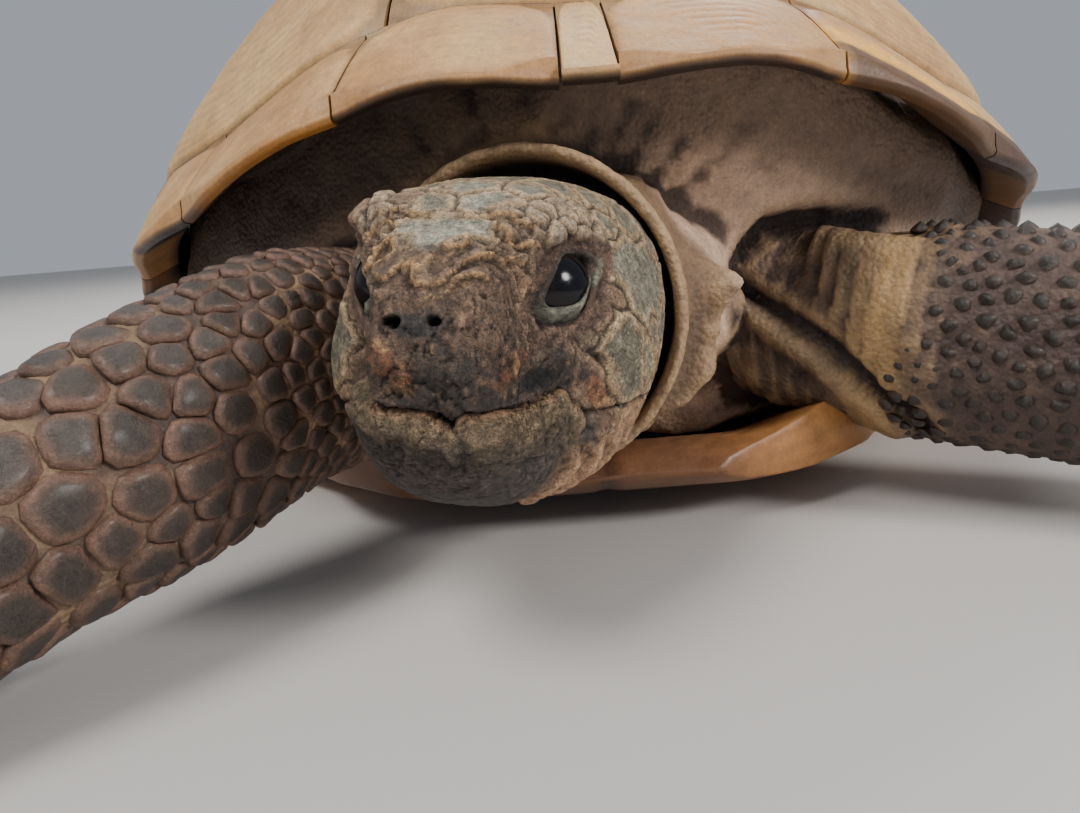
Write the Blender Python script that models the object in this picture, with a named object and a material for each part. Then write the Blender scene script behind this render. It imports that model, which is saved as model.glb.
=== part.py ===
"""A spur-thighed tortoise (Testudo graeca), life size, as a still display model.

It lies on its plastron with both forelegs spread to the front and sides, and looks a little
to its right. The animal faces -Y, its left side is +X, and +Z is up. The origin is the middle
of the flat under the plastron, on the surface that the animal rests on.

Run it with: blender --background --python part.py
"""

import math

import bmesh
import bpy
from mathutils import Matrix, Vector

# ---------------------------------------------------------------- driving dimensions, in metres

SHELL_LENGTH = 0.210  # straight length of the carapace
SHELL_WIDTH = 0.165
SHELL_HEIGHT = 0.110  # top of the carapace above the floor
SCUTE_THICKNESS = 0.0026
SCUTE_SWELL = 0.0010  # how far the middle of a scute stands above its seams
SEAM = 0.0004  # gap between neighbouring plates
CLEARANCE = 0.0003  # gap between pieces that are fitted to each other
TRUNK_CLEARANCE = 0.0016  # the trunk under the scutes, where nothing shows
PLASTRON_THICKNESS = 0.0042

HEAD_CENTRE = Vector((-0.0121, -0.1085, 0.0263))  # on the mouth line, half way along the head
HEAD_YAW = math.radians(-14.6)
HEAD_PITCH = math.radians(-1)
HEAD_ROLL = math.radians(5)
HEAD_SIZE = 1.025
EYE_RADIUS = 0.0043
CLAW_LENGTH = 0.0085
CLAW_RADIUS = 0.0021

MM = 0.001
HALF_LENGTH = SHELL_LENGTH / 2
HALF_WIDTH = SHELL_WIDTH / 2
RIM_SQUARENESS = 2.5  # exponent of the carapace's outline seen from above
DOME_SQUARENESS = 2.1  # the same higher up, where the outline is rounder
REAR_SPREAD = 0.02  # the carapace is this share wider at the back, narrower at the front
DOME_BULGE = 2.05  # exponent of the carapace's arch
# Where the seams between the marginal scutes lie round the edge, from the nuchal to the supracaudal.
MARGINAL_SEAMS = [math.radians(a) for a in (2.2, 20, 37, 56, 71, 86, 101, 116, 131, 145, 157, 169)]

COLOURS = {  # base colour, roughness
    "scute": ((0.52, 0.36, 0.18), 0.5),
    "marginal": ((0.48, 0.31, 0.13), 0.5),
    "plastron": ((0.45, 0.28, 0.12), 0.5),
    "skin": ((0.30, 0.21, 0.14), 0.7),
    "head": ((0.27, 0.24, 0.20), 0.6),
    "horn": ((0.14, 0.11, 0.09), 0.5),
    "claw": ((0.10, 0.08, 0.06), 0.4),
    "eye": ((0.01, 0.01, 0.012), 0.05),
}


# ---------------------------------------------------------------- scene and mesh helpers


def clear_scene():
    for obj in list(bpy.data.objects):
        bpy.data.objects.remove(obj, do_unlink=True)


def new_collection(name):
    made = bpy.data.collections.new(name)
    bpy.context.scene.collection.children.link(made)
    return made


def material(kind):
    """The Principled material of this kind, made once."""
    made = bpy.data.materials.get(kind)
    if made is None:
        colour, roughness = COLOURS[kind]
        made = bpy.data.materials.new(kind)
        made.use_nodes = True
        shader = made.node_tree.nodes["Principled BSDF"]
        shader.inputs["Base Color"].default_value = (*colour, 1.0)
        shader.inputs["Roughness"].default_value = roughness
        shader.inputs["Metallic"].default_value = 0.0
        made.diffuse_color = (*colour, 1.0)
    return made


def add_object(name, mesh, kind, collection):
    """Puts a mesh in the scene under this name, shaded smooth with sharp edges kept."""
    mesh.name = name
    obj = bpy.data.objects.new(name, mesh)
    collection.objects.link(obj)
    mesh.materials.clear()
    mesh.materials.append(material(kind))
    mesh.shade_smooth()
    mesh.set_sharp_from_angle(angle=math.radians(40))
    return obj


def closed_mesh(bm):
    """A mesh from bm with its doubles merged and its faces pointing out."""
    bmesh.ops.remove_doubles(bm, verts=bm.verts, dist=1e-6)
    bmesh.ops.recalc_face_normals(bm, faces=bm.faces)
    mesh = bpy.data.meshes.new("made")
    bm.to_mesh(mesh)
    bm.free()
    return mesh


def add_quad(bm, a, b, c, d):
    """Two triangles, always split the same way, so that a piece and its cutter have the same faces."""
    bm.faces.new((a, b, c))
    bm.faces.new((a, c, d))


def loft_mesh(rings, round_ends=(0.0, 0.0)):
    """A closed tube through rings with the same number of points. round_ends moves the middle of
    each end cap outwards by that many metres."""
    bm = bmesh.new()
    rows = [[bm.verts.new(point) for point in ring] for ring in rings]
    count = len(rows[0])
    for near, far in zip(rows, rows[1:]):
        for i in range(count):
            add_quad(bm, near[i], near[(i + 1) % count], far[(i + 1) % count], far[i])
    for row, inner, bulge in ((rows[0], rows[1], round_ends[0]), (rows[-1], rows[-2], round_ends[1])):
        middle = sum((v.co for v in row), Vector()) / count
        inside = sum((v.co for v in inner), Vector()) / count
        tip = bm.verts.new(middle + (middle - inside).normalized() * bulge)
        for i in range(count):
            bm.faces.new((row[i], row[(i + 1) % count], tip))
    return closed_mesh(bm)


def slab_mesh(top, bottom):
    """A closed slab between two grids of points, each a list of equal rows."""
    bm = bmesh.new()
    rows, columns = len(top), len(top[0])
    upper = [[bm.verts.new(point) for point in row] for row in top]
    lower = [[bm.verts.new(point) for point in row] for row in bottom]
    for grid in (upper, lower):
        for i in range(rows - 1):
            for j in range(columns - 1):
                add_quad(bm, grid[i][j], grid[i][j + 1], grid[i + 1][j + 1], grid[i + 1][j])
    edge = [(0, j) for j in range(columns)]
    edge += [(i, columns - 1) for i in range(1, rows)]
    edge += [(rows - 1, j) for j in range(columns - 2, -1, -1)]
    edge += [(i, 0) for i in range(rows - 2, 0, -1)]
    for (i, j), (k, m) in zip(edge, edge[1:] + edge[:1]):
        bm.faces.new((upper[i][j], upper[k][m], lower[k][m], lower[i][j]))
    return closed_mesh(bm)


def cutter(name, mesh):
    """A helper object that cuts others and isn't part of the model."""
    obj = bpy.data.objects.new(name, mesh)
    CUTTERS.objects.link(obj)
    obj.hide_render = True
    obj.display_type = "WIRE"
    return obj


def boolean(obj, operation, other):
    change = obj.modifiers.new(f"{operation.lower()} {other.name}", "BOOLEAN")
    change.operation = operation
    change.object = other
    change.solver = "EXACT"


def smooth_between(low, high, value):
    """0 below low, 1 above high, and an S curve between them."""
    share = min(1.0, max(0.0, (value - low) / (high - low)))
    return share * share * (3 - 2 * share)


def along(stops, where):
    """The value at where on a smooth curve through (place, value) stops, level at both ends."""
    slopes = [0.0]
    for (a, first), (b, middle), (c, last) in zip(stops, stops[1:], stops[2:]):
        before, after = (middle - first) / (b - a), (last - middle) / (c - b)
        slopes.append(2 * before * after / (before + after) if before * after > 0 else 0.0)
    slopes.append(0.0)
    if where <= stops[0][0]:
        return stops[0][1]
    for (a, first), (b, second), near, far in zip(stops, stops[1:], slopes, slopes[1:]):
        if where <= b:
            t, span = (where - a) / (b - a), b - a
            rise = (3 - 2 * t) * t * t
            return first + (second - first) * rise + span * t * (1 - t) * (near * (1 - t) - far * t)
    return stops[-1][1]


def on_polyline(points, share):
    """The point at this share of the way along a polyline, counted by its corners."""
    place = share * (len(points) - 1)
    index = min(int(place), len(points) - 2)
    return points[index].lerp(points[index + 1], place - index)


# ---------------------------------------------------------------- the carapace's surface


def half_width_at(y):
    return HALF_WIDTH * (1 + REAR_SPREAD * y / HALF_LENGTH)


def plan_point(angle, share):
    """Seen from above, the point at this share of the way from the middle to the rim. Angle 0 is
    the front, and a quarter turn is the animal's left."""
    s, c = math.sin(angle), math.cos(angle)
    gauge = (abs(s) ** RIM_SQUARENESS + abs(c) ** RIM_SQUARENESS) ** (1 / RIM_SQUARENESS)
    y = -share * HALF_LENGTH * c / gauge
    return Vector((share * half_width_at(y) * s / gauge, y))


def gauge_of(x, y, squareness=RIM_SQUARENESS):
    """(angle, share) of a point seen from above."""
    u, v = x / half_width_at(y), -y / HALF_LENGTH
    share = (abs(u) ** squareness + abs(v) ** squareness) ** (1 / squareness)
    return math.atan2(u, v), share


def rim_height(angle):
    """Height of the carapace's edge: high over the head, low along the bridge, raised behind."""
    stops = ((0, 0.0550), (11, 0.0557), (20, 0.0537), (37, 0.0448), (53, 0.0392), (64, 0.0310), (78, 0.0260),
             (105, 0.0235), (140, 0.0265), (180, 0.0300))
    return along(stops, math.degrees(abs(angle)))


def marginal_share(angle):
    """Where the marginal scutes begin, as a share of the way to the rim."""
    return 0.865 + 0.085 * math.sin(angle) ** 2


def marginal_height(angle):
    """How far the marginal scutes reach above their edge: they flare in front, and stand at the sides."""
    return along(((0, 0.0110), (40, 0.0115), (60, 0.0150), (80, 0.0200), (120, 0.0210), (180, 0.0190)),
                 math.degrees(abs(angle)))


def steepness(angle):
    """How upright the dome is just above the marginals: most at the back, least in front."""
    return along(((0, 1.12), (70, 1.26), (120, 1.32), (180, 1.48)), math.degrees(abs(angle)))


def arch(inner, angle):
    """Height of the dome above the marginals, as a share of the whole, from 1 on top to 0."""
    power = 1 / steepness(angle)
    edge = (1 - 0.97**DOME_BULGE) ** power
    return (max(0.0, 1 - (0.97 * inner) ** DOME_BULGE) ** power - edge) / (1 - edge)


def dome_height(x, y):
    angle, share = gauge_of(x, y)
    start = marginal_share(angle)
    low = rim_height(angle)
    foot = low + marginal_height(angle)
    if share >= start:
        return foot - (foot - low) * ((share - start) / (1 - start))
    inner = share / start
    rounder = gauge_of(x, y, DOME_SQUARENESS)[1] / max(share, 1e-9)
    inner = min(1.0, inner * rounder ** (1 - inner**4))
    return foot + (SHELL_HEIGHT - foot) * arch(inner, angle)


def dome_point(x, y, out=0.0, lean=0.99):
    """The carapace's surface over a point seen from above, moved out along its normal. The normal
    is taken a little nearer the middle, or farther from it where lean is over 1."""
    step = 0.0003
    here = Vector((x, y, dome_height(x, y)))
    if not out:
        return here
    u, v = x * lean, y * lean
    slope_x = (dome_height(u + step, v) - dome_height(u - step, v)) / (2 * step)
    slope_y = (dome_height(u, v + step) - dome_height(u, v - step)) / (2 * step)
    return here + Vector((-slope_x, -slope_y, 1)).normalized() * out


# ---------------------------------------------------------------- vertebral and costal scutes

# Corners on the animal's left: where the vertebral scutes meet, and where their sides bulge.
SEAM_CORNERS = [Vector((0.0170, -0.0580)), Vector((0.0195, -0.0180)), Vector((0.0195, 0.0210)), Vector((0.0150, 0.0560))]
SIDE_CORNERS = [Vector((0.0280, -0.0385)), Vector((0.0310, 0.0010)), Vector((0.0275, 0.0385))]
COSTAL_ANGLES = [math.radians(a) for a in (19, 66, 92, 118, 153)]


def mirrored(points, side):
    return [Vector((side * p.x, p.y)) for p in points]


def contour(first, last, side=1, steps=8):
    """Points where the marginals begin, from one angle to another."""
    angles = [first + (last - first) * i / steps for i in range(steps + 1)]
    return [plan_point(side * a, marginal_share(a)) for a in angles]


def scute_mesh(inner, outer, rows=6, columns=5, crowd=1.0):
    """A scute between an inner and an outer edge seen from above. crowd over 1 sets its columns
    closer together towards the outer edge, where the dome is steep."""
    length = sum((b - a).length for a, b in zip(outer, outer[1:]))
    width = (inner[len(inner) // 2] - outer[len(outer) // 2]).length
    row_gap, column_gap = SEAM / 2 / length, SEAM / 2 / width
    top, bottom = [], []
    for i in range(rows):
        v = row_gap + (1 - 2 * row_gap) * i / (rows - 1)
        near, far = on_polyline(inner, v), on_polyline(outer, v)
        top.append([])
        bottom.append([])
        for j in range(columns):
            u = j / (columns - 1)
            place = near.lerp(far, column_gap + (1 - column_gap) * (1 - (1 - u) ** crowd))
            swell = SCUTE_SWELL * math.sqrt(math.sin(math.pi * v) * max(0.0, math.sin(math.pi * u)))
            top[-1].append(dome_point(place.x, place.y, swell + 1e-6))
            bottom[-1].append(dome_point(place.x, place.y, -SCUTE_THICKNESS))
    return slab_mesh(top, bottom)


def add_vertebrals():
    left = list(SEAM_CORNERS)
    right = mirrored(left, -1)
    first, last = COSTAL_ANGLES[0], COSTAL_ANGLES[-1]
    front = contour(-first, first)
    back = contour(last, 2 * math.pi - last)
    add_object("vertebral_1", scute_mesh([right[0], left[0]], front, 6, 5), "scute", SHELL)
    for i, bulge in enumerate(SIDE_CORNERS):
        edge = [left[i], bulge, left[i + 1]]
        mesh = scute_mesh(mirrored(edge, -1), edge, 5, 6)
        add_object(f"vertebral_{i + 2}", mesh, "scute", SHELL)
    add_object("vertebral_5", scute_mesh([left[3], right[3]], back, 6, 6, 1.3), "scute", SHELL)


def add_costals():
    inner_edges = [
        [SEAM_CORNERS[0], SIDE_CORNERS[0]],
        [SIDE_CORNERS[0], SEAM_CORNERS[1], SIDE_CORNERS[1]],
        [SIDE_CORNERS[1], SEAM_CORNERS[2], SIDE_CORNERS[2]],
        [SIDE_CORNERS[2], SEAM_CORNERS[3]],
    ]
    for side, word in ((1, "left"), (-1, "right")):
        for i, edge in enumerate(inner_edges):
            outer = contour(COSTAL_ANGLES[i], COSTAL_ANGLES[i + 1], side)
            mesh = scute_mesh(mirrored(edge, side), outer, 6 if i in (0, 3) else 5, 6, 1.6)
            add_object(f"costal_{word}_{i + 1}", mesh, "scute", SHELL)


# ---------------------------------------------------------------- marginal scutes


def marginal_inner_share(angle):
    """Where the face under the marginal scutes ends, as a share of the way to the rim."""
    return 0.94 - 0.045 * math.cos(angle) ** 2


def marginal_section(angle, edge_out):
    """The outline of the shell's edge cut by an upright plane: its outer face, its lip and the
    face under the lip. edge_out moves the lip out, to give each scute its own curved edge."""
    start = marginal_share(angle) + SEAM / 2 / HALF_WIDTH
    front_or_back = math.cos(angle) ** 2
    low = rim_height(angle)
    outer = [plan_point(angle, share) for share in (start, start + 0.55 * (1 - start))]
    lip = plan_point(angle, 1 + edge_out)
    under_lip = plan_point(angle, 1 + edge_out - 0.014)
    inside = plan_point(angle, marginal_inner_share(angle))
    top = dome_point(outer[0].x, outer[0].y)
    back = dome_point(outer[0].x, outer[0].y, -SCUTE_THICKNESS, 1.03)
    drop = 0.0004 * front_or_back
    return [
        top,
        dome_point(outer[1].x, outer[1].y, 0.0006, 1.0),
        Vector((lip.x, lip.y, low + 0.0006)),
        Vector((under_lip.x, under_lip.y, low - drop)),
        Vector((inside.x, inside.y, low + 0.0065 * front_or_back)),
        back,
    ]


def marginal_band(first, last, side):
    """A run of marginal scutes, from number first to number last, as one piece with a wavy edge."""
    gap = SEAM / 2 / HALF_LENGTH
    rings = []
    for number in range(first, last + 1):
        start, end = MARGINAL_SEAMS[number - 1], MARGINAL_SEAMS[number]
        for i in range(0 if number == first else 1, 5):
            angle = start + (end - start) * i / 4
            angle = min(max(angle, MARGINAL_SEAMS[first - 1] + gap), MARGINAL_SEAMS[last] - gap)
            flare = 0.25 + 0.75 * math.cos(angle) ** 2
            rings.append(marginal_section(side * angle, (-0.016, 0.001, 0.006)[2 - abs(i - 2)] * flare))
    return loft_mesh(rings)


def end_piece(first, last):
    """The nuchal or the supracaudal scute, which cross the middle line."""
    gap = SEAM / 2 / HALF_LENGTH
    steps = 4
    angles = [first + gap + (last - first - 2 * gap) * i / steps for i in range(steps + 1)]
    return loft_mesh([marginal_section(a, 0.008) for a in angles])


def add_marginals():
    for side, word in ((1, "left"), (-1, "right")):
        for place, first, last in (("front", 1, 3), ("bridge", 4, 7), ("rear", 8, 11)):
            mesh = marginal_band(first, last, side)
            add_object(f"marginals_{word}_{place}", mesh, "marginal", SHELL)
    front, back = MARGINAL_SEAMS[0], MARGINAL_SEAMS[-1]
    add_object("nuchal", end_piece(-front, front), "marginal", SHELL)
    add_object("supracaudal", end_piece(back, 2 * math.pi - back), "marginal", SHELL)


# ---------------------------------------------------------------- plastron

PLASTRON_SEAMS = (("gular", -0.0955), ("humeral", -0.0785), ("pectoral", -0.0480), ("abdominal", -0.0340),
                  ("femoral", 0.0330), ("anal", 0.0640), ("end", 0.0890))
BRIDGE_FRONT, BRIDGE_BACK = -0.044, 0.040  # where the plastron reaches the marginals


def bridge_share(y):
    """1 along the bridge, 0 on the front and rear lobes."""
    rise = smooth_between(BRIDGE_FRONT - 0.030, BRIDGE_FRONT + 0.008, y)
    return rise * (1 - smooth_between(BRIDGE_BACK - 0.006, BRIDGE_BACK + 0.024, y))


def plastron_half_width(y):
    stops = ((-0.0955, 0.015), (-0.089, 0.030), (-0.080, 0.0410), (-0.068, 0.0455), (-0.055, 0.0465), (0.048, 0.0450),
             (0.070, 0.0390), (0.083, 0.0280), (0.0890, 0.0190))
    lobe = along(stops, y)
    bridge = 0.985 * plan_point(math.atan2(1.0, -y / HALF_LENGTH), 1.0).x
    return lobe + (bridge - lobe) * bridge_share(y)


def lobe_share(x, y):
    """How near a point is to the front or rear end of the plastron."""
    return smooth_between(0.060, 0.094, -y) + 0.5 * smooth_between(0.055, 0.089, y)


def plastron_height(x, y):
    """Underside of the plastron: flat in the middle, turned up at both ends and at the bridge."""
    ends = 0.0050 * lobe_share(x, y)
    lobe_edge = 0.0030 * smooth_between(0.016, 0.042, abs(x)) * smooth_between(0.045, 0.072, abs(y))
    bridge_top = rim_height(math.pi / 2 + y / HALF_LENGTH) - PLASTRON_THICKNESS - 0.0014
    wall = bridge_top * smooth_between(0.046, 0.077, abs(x)) * bridge_share(y)
    return ends + lobe_edge + wall


def plastron_thickness(x, y):
    """The plastron's front lip is thicker than the rest."""
    lip = smooth_between(0.060, 0.094, -y) + 0.9 * smooth_between(0.018, 0.036, abs(x)) * smooth_between(0.050, 0.072, -y)
    return PLASTRON_THICKNESS + 0.0026 * lip


def plastron_row(y, grow=0.0):
    """(top, bottom) points of the plastron across the animal at this y."""
    columns = 10
    half = plastron_half_width(y) + grow
    notch = 0.010 * smooth_between(0.070, 0.089, y)
    top, bottom = [], []
    for j in range(columns + 1):
        x = half * (2 * j / columns - 1)
        back_y = y - notch * (1 - min(1.0, abs(x) / 0.014))
        z = plastron_height(x, y)
        bottom.append(Vector((x, back_y, z - 20 * grow)))
        top.append(Vector((x, back_y, z + plastron_thickness(x, y) + 3 * grow)))
    return top, bottom


def plastron_plate_rows(front, back):
    rows = min(5, math.ceil((back - front) / 0.006) + 1)
    return [front + SEAM / 2 + (back - front - SEAM) * i / (rows - 1) for i in range(rows)]


def add_plastron():
    for (name, front), (_, back) in zip(PLASTRON_SEAMS, PLASTRON_SEAMS[1:]):
        rows = [plastron_row(y) for y in plastron_plate_rows(front, back)]
        top, bottom = zip(*rows)
        add_object(f"plastron_{name}", slab_mesh(top, bottom), "plastron", SHELL)


def plastron_cutter():
    """The whole plastron, a little larger, to cut the pieces that lie on it."""
    places = [PLASTRON_SEAMS[0][1] - CLEARANCE]
    for (_, front), (_, back) in zip(PLASTRON_SEAMS, PLASTRON_SEAMS[1:]):
        places += plastron_plate_rows(front, back)
    places.append(PLASTRON_SEAMS[-1][1] + CLEARANCE)
    rows = [plastron_row(y, CLEARANCE) for y in places]
    top, bottom = zip(*rows)
    return cutter("cut_plastron", slab_mesh(top, bottom))


# ---------------------------------------------------------------- trunk

def trunk_section(angle, grow):
    """The trunk's outline at this angle, from near the top of the dome to under its middle: the
    roof, the back of the marginal scutes, the wall in the openings and the floor."""
    depth = SCUTE_THICKNESS + TRUNK_CLEARANCE - grow
    start, inside = marginal_share(angle), marginal_inner_share(angle)
    ends = math.cos(angle) ** 4
    more = grow / HALF_WIDTH
    points = []
    for share in (0.28, 0.54, 0.77, 0.91, 0.985):
        spot = plan_point(angle, share * start + more)
        points.append(dome_point(spot.x, spot.y, -depth))
    wall = inside - 0.018 + more
    low = rim_height(angle) + 0.0065 * math.cos(angle) ** 2
    for share, lift in ((wall, 1.0), (wall - 0.02 - 0.05 * ends, 0.5), (wall - 0.05 - 0.09 * ends, 0.0), (0.66, 0.0), (0.40, 0.0)):
        spot = plan_point(angle, share)
        floor = plastron_height(spot.x, spot.y) + plastron_thickness(spot.x, spot.y) + 0.0006 - grow
        roof = max(low - 0.0006, floor + 0.001)
        points.append(Vector((spot.x, spot.y, floor + (roof - floor) * lift)))
    return points


def trunk_mesh(grow=0.0):
    """The flesh inside the shell. It fills the dome and the plastron, and its front and back walls
    stand back from the rim, as the skin does in the openings."""
    around = 26
    columns = [trunk_section(2 * math.pi * i / around, grow) for i in range(around)]
    return loft_mesh(list(zip(*columns)))


# ---------------------------------------------------------------- limbs, neck and tail


def limb_rings(stations, around, grow=0.0, floor=0.0):
    """Rings round a bent limb. Each station is (x, y, z, half width across, half height) in
    millimetres; nothing goes below the floor, which gives the foot its flat sole."""
    centres = [Vector(s[:3]) * MM for s in stations]
    rings = []
    for i, station in enumerate(stations):
        across_by, up_by = station[3] * MM + grow, station[4] * MM + grow
        ahead = (centres[min(i + 1, len(centres) - 1)] - centres[max(i - 1, 0)]).normalized()
        across = ahead.cross(Vector((0, 0, 1))).normalized()
        up = across.cross(ahead)
        ring = []
        for k in range(around):
            turn = 2 * math.pi * k / around
            point = centres[i] + across * (across_by * math.cos(turn)) + up * (up_by * math.sin(turn))
            point.z = max(point.z, floor)
            ring.append(point)
        rings.append(ring)
    return rings


FORELEG_RIGHT = (
    (-12, -64, 27, 10, 11), (-23, -79, 26.5, 10, 12.4), (-31.5, -91, 26.5, 10, 13.6), (-37.5, -100, 26.5, 10, 13.8),
    (-43.5, -107, 24, 10.6, 13.6), (-50, -114, 20.9, 10.6, 13.0), (-57, -121, 18.0, 10.2, 11.6), (-64, -127.5, 13.9, 10.2, 10.1),
    (-71, -133, 9.2, 10.6, 8.4), (-76.5, -137, 6.2, 10.8, 6.2), (-81, -140.5, 4.8, 9.5, 4.8),
)
FORELEG_LEFT = (
    (14, -60, 26, 10, 10.5), (24, -73, 25.5, 11, 12), (33, -82, 24.6, 11, 13.2), (42.5, -89, 23.2, 11, 14.2),
    (52, -94.5, 22, 11, 14.2), (62, -100, 20, 10.5, 13.8), (71.5, -104.5, 16.6, 10.5, 12.6), (80, -108.5, 12.4, 10.5, 11),
    (88, -112, 8.6, 11, 8.4), (94.5, -115, 6, 11, 6), (99.5, -117, 4.7, 9.5, 4.7),
)
HINDLEG_LEFT = (
    (16, 56, 17.5, 11, 8), (29, 69, 16.5, 13, 9.5), (41, 80, 15, 14, 10), (50, 87.5, 13, 13.5, 9.8),
    (58, 93.5, 10.5, 13, 9), (65, 98.5, 8, 12.5, 7.6), (71, 103, 5.5, 11, 5.4),
)
TAIL = ((0, 70, 18.5, 9, 7), (1, 81, 17.5, 8, 6.6), (2.5, 90, 15.8, 7, 5.8), (5, 98, 12, 5.5, 5.2),
        (8, 105, 7.5, 4.2, 4.2), (11, 111, 3.8, 2.8, 2.8))


def flipped(stations):
    return tuple((-s[0], *s[1:]) for s in stations)


LEGS = {
    "foreleg_right": (FORELEG_RIGHT, 5, 24),
    "foreleg_left": (FORELEG_LEFT, 5, 24),
    "hindleg_left": (HINDLEG_LEFT, 4, 19),
    "hindleg_right": (flipped(HINDLEG_LEFT), 4, 19),
}


def leg_mesh(stations, grow=0.0):
    return loft_mesh(limb_rings(stations, 12, grow, -grow), (0.0, 0.0022 + grow))


def claw_mesh(root, heading, length):
    """A blunt claw that grows from root along heading and bends down to just above the floor."""
    across = heading.cross(Vector((0, 0, 1))).normalized()
    rings = []
    steps = 3
    for i in range(steps + 1):
        share = i / steps
        drop = 0.0022 * share * share
        centre = root + heading * (length * (share - 0.35)) - Vector((0, 0, drop))
        radius = CLAW_RADIUS * (1 - 0.72 * share**1.6)
        ring = []
        for k in range(6):
            turn = 2 * math.pi * k / 6
            point = centre + across * (radius * 1.05 * math.cos(turn)) + Vector((0, 0, radius * math.sin(turn)))
            point.z = max(point.z, 0.0)
            ring.append(point)
        rings.append(ring)
    return loft_mesh(rings, (0.0, 0.0005))


def add_leg(name, cutters):
    """A leg with its claws. The leg is cut to fit the trunk and the neck, and the claws to fit it."""
    stations, claws, spread = LEGS[name]
    leg = add_object(name, leg_mesh(stations), "skin", BODY)
    for other in cutters:
        boolean(leg, "DIFFERENCE", other)
    around_leg = cutter(f"cut_{name}", leg_mesh(stations, CLEARANCE))
    toe = Vector(stations[-1][:3]) * MM
    wrist = Vector(stations[-2][:3]) * MM
    ahead = (toe - wrist)
    ahead.z = 0
    ahead.normalize()
    side = ahead.cross(Vector((0, 0, 1)))
    for i in range(claws):
        share = 2 * i / (claws - 1) - 1
        turn = Matrix.Rotation(-math.radians(spread) * share, 3, "Z")
        heading = turn @ ahead
        root = toe + side * (share * stations[-1][3] * MM * 0.80) + ahead * (0.0014 * (1 - share * share) - 0.0012)
        root.z = 0.0040
        claw = add_object(f"claw_{name}_{i + 1}", claw_mesh(root, heading, CLAW_LENGTH), "claw", BODY)
        boolean(claw, "DIFFERENCE", around_leg)


# ---------------------------------------------------------------- head

# Sections of the head from the back to the snout, in millimetres in the head's own frame:
# (y, half width, top, bottom, how much narrower the top is than the middle). Height 0 is the
# mouth line, and -y is ahead.
HEAD_SECTIONS = (
    (13.2, 14.2, 17.2, -7.8, 0.00), (11.2, 15.4, 18.2, -9.0, 0.01), (8, 16.0, 19.0, -9.6, 0.02),
    (2, 15.9, 19.4, -10.6, 0.07), (-3, 15.4, 19.0, -11.2, 0.15), (-7, 13.9, 18.2, -11.4, 0.19),
    (-10, 11.4, 17.3, -11.0, 0.08), (-13, 9.7, 16.0, -10.0, 0.04), (-16, 8.4, 14.2, -8.2, 0.02),
    (-18.8, 7.3, 12.6, -5.2, 0.0), (-20.6, 6.1, 11.4, -1.8, 0.0), (-21.8, 4.1, 9.9, 3.2, 0.0),
)
HEAD_SQUARENESS = 2.7
EYE_PLACE = Vector((6.9, -7.8, 9.0)) * MM
NOSTRIL_PLACE = Vector((1.9, -21.4, 8.3)) * MM
# The mouth seen from the side, from the front of the beak to the corner of the mouth.
MOUTH_LINE = ((-27, -0.4), (-20, 0.3), (-13, 1.0), (-8, 1.4), (-6.2, -0.8), (0, -2.0), (6, -3.2), (10, -4.2))


def head_frame():
    turn = Matrix.Rotation(HEAD_YAW, 4, "Z") @ Matrix.Rotation(HEAD_PITCH, 4, "X") @ Matrix.Rotation(HEAD_ROLL, 4, "Y")
    return Matrix.Translation(HEAD_CENTRE) @ turn @ Matrix.Scale(HEAD_SIZE, 4)


def head_mesh(grow=0.0):
    around = 20
    rings = []
    for y, half, top, bottom, narrow in HEAD_SECTIONS:
        middle, tall = (top + bottom) / 2, (top - bottom) / 2
        ring = []
        for k in range(around):
            turn = 2 * math.pi * (k + 0.5) / around
            c, s = math.cos(turn), math.sin(turn)
            across = half * MM * (1 - narrow * smooth_between(-0.1, 0.45, s)) + grow
            x = math.copysign(abs(c) ** (2 / HEAD_SQUARENESS), c) * across
            z = middle * MM + math.copysign(abs(s) ** (2 / HEAD_SQUARENESS), s) * (tall * MM + grow)
            ring.append(Vector((x, y * MM, z)))
        rings.append(ring)
    mesh = loft_mesh(rings, (0.0004 + grow, 0.0004 + grow))
    mesh.transform(head_frame())
    return mesh


def side_region(name, outline):
    """A cutter whose outline is drawn from the side of the head, in millimetres, and which runs
    right across it."""
    reach = 0.030
    rings = [[Vector((x, y * MM, z * MM)) for y, z in outline] for x in (-reach, reach)]
    bm = bmesh.new()
    rows = [[bm.verts.new(p) for p in ring] for ring in rings]
    count = len(outline)
    for i in range(count):
        j = (i + 1) % count
        bm.faces.new((rows[0][i], rows[0][j], rows[1][j], rows[1][i]))
    for row in rows:
        bm.faces.new(row)
    bmesh.ops.triangulate(bm, faces=bm.faces)
    mesh = closed_mesh(bm)
    mesh.transform(head_frame())
    return cutter(name, mesh)


def eye_mesh(side, grow=0.0):
    bm = bmesh.new()
    bmesh.ops.create_uvsphere(bm, u_segments=12, v_segments=6, radius=EYE_RADIUS + grow)
    turn = Matrix.Rotation(math.radians(90) * side, 4, "Y")
    place = Matrix.Translation(Vector((EYE_PLACE.x * side, EYE_PLACE.y, EYE_PLACE.z)))
    mesh = bpy.data.meshes.new("eye")
    bm.to_mesh(mesh)
    bm.free()
    mesh.transform(head_frame() @ place @ turn)
    return mesh


def nostril_cutter(side):
    bm = bmesh.new()
    bmesh.ops.create_cone(bm, cap_ends=True, segments=8, radius1=0.0008, radius2=0.0008, depth=0.005)
    mesh = bpy.data.meshes.new("nostril")
    bm.to_mesh(mesh)
    bm.free()
    place = Matrix.Translation(Vector((NOSTRIL_PLACE.x * side, NOSTRIL_PLACE.y, NOSTRIL_PLACE.z)))
    mesh.transform(head_frame() @ place @ Matrix.Rotation(math.radians(90), 4, "X"))
    return cutter(f"cut_nostril_{side}", mesh)


def raised(line, by):
    return [(y, z + by) for y, z in line]


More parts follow.
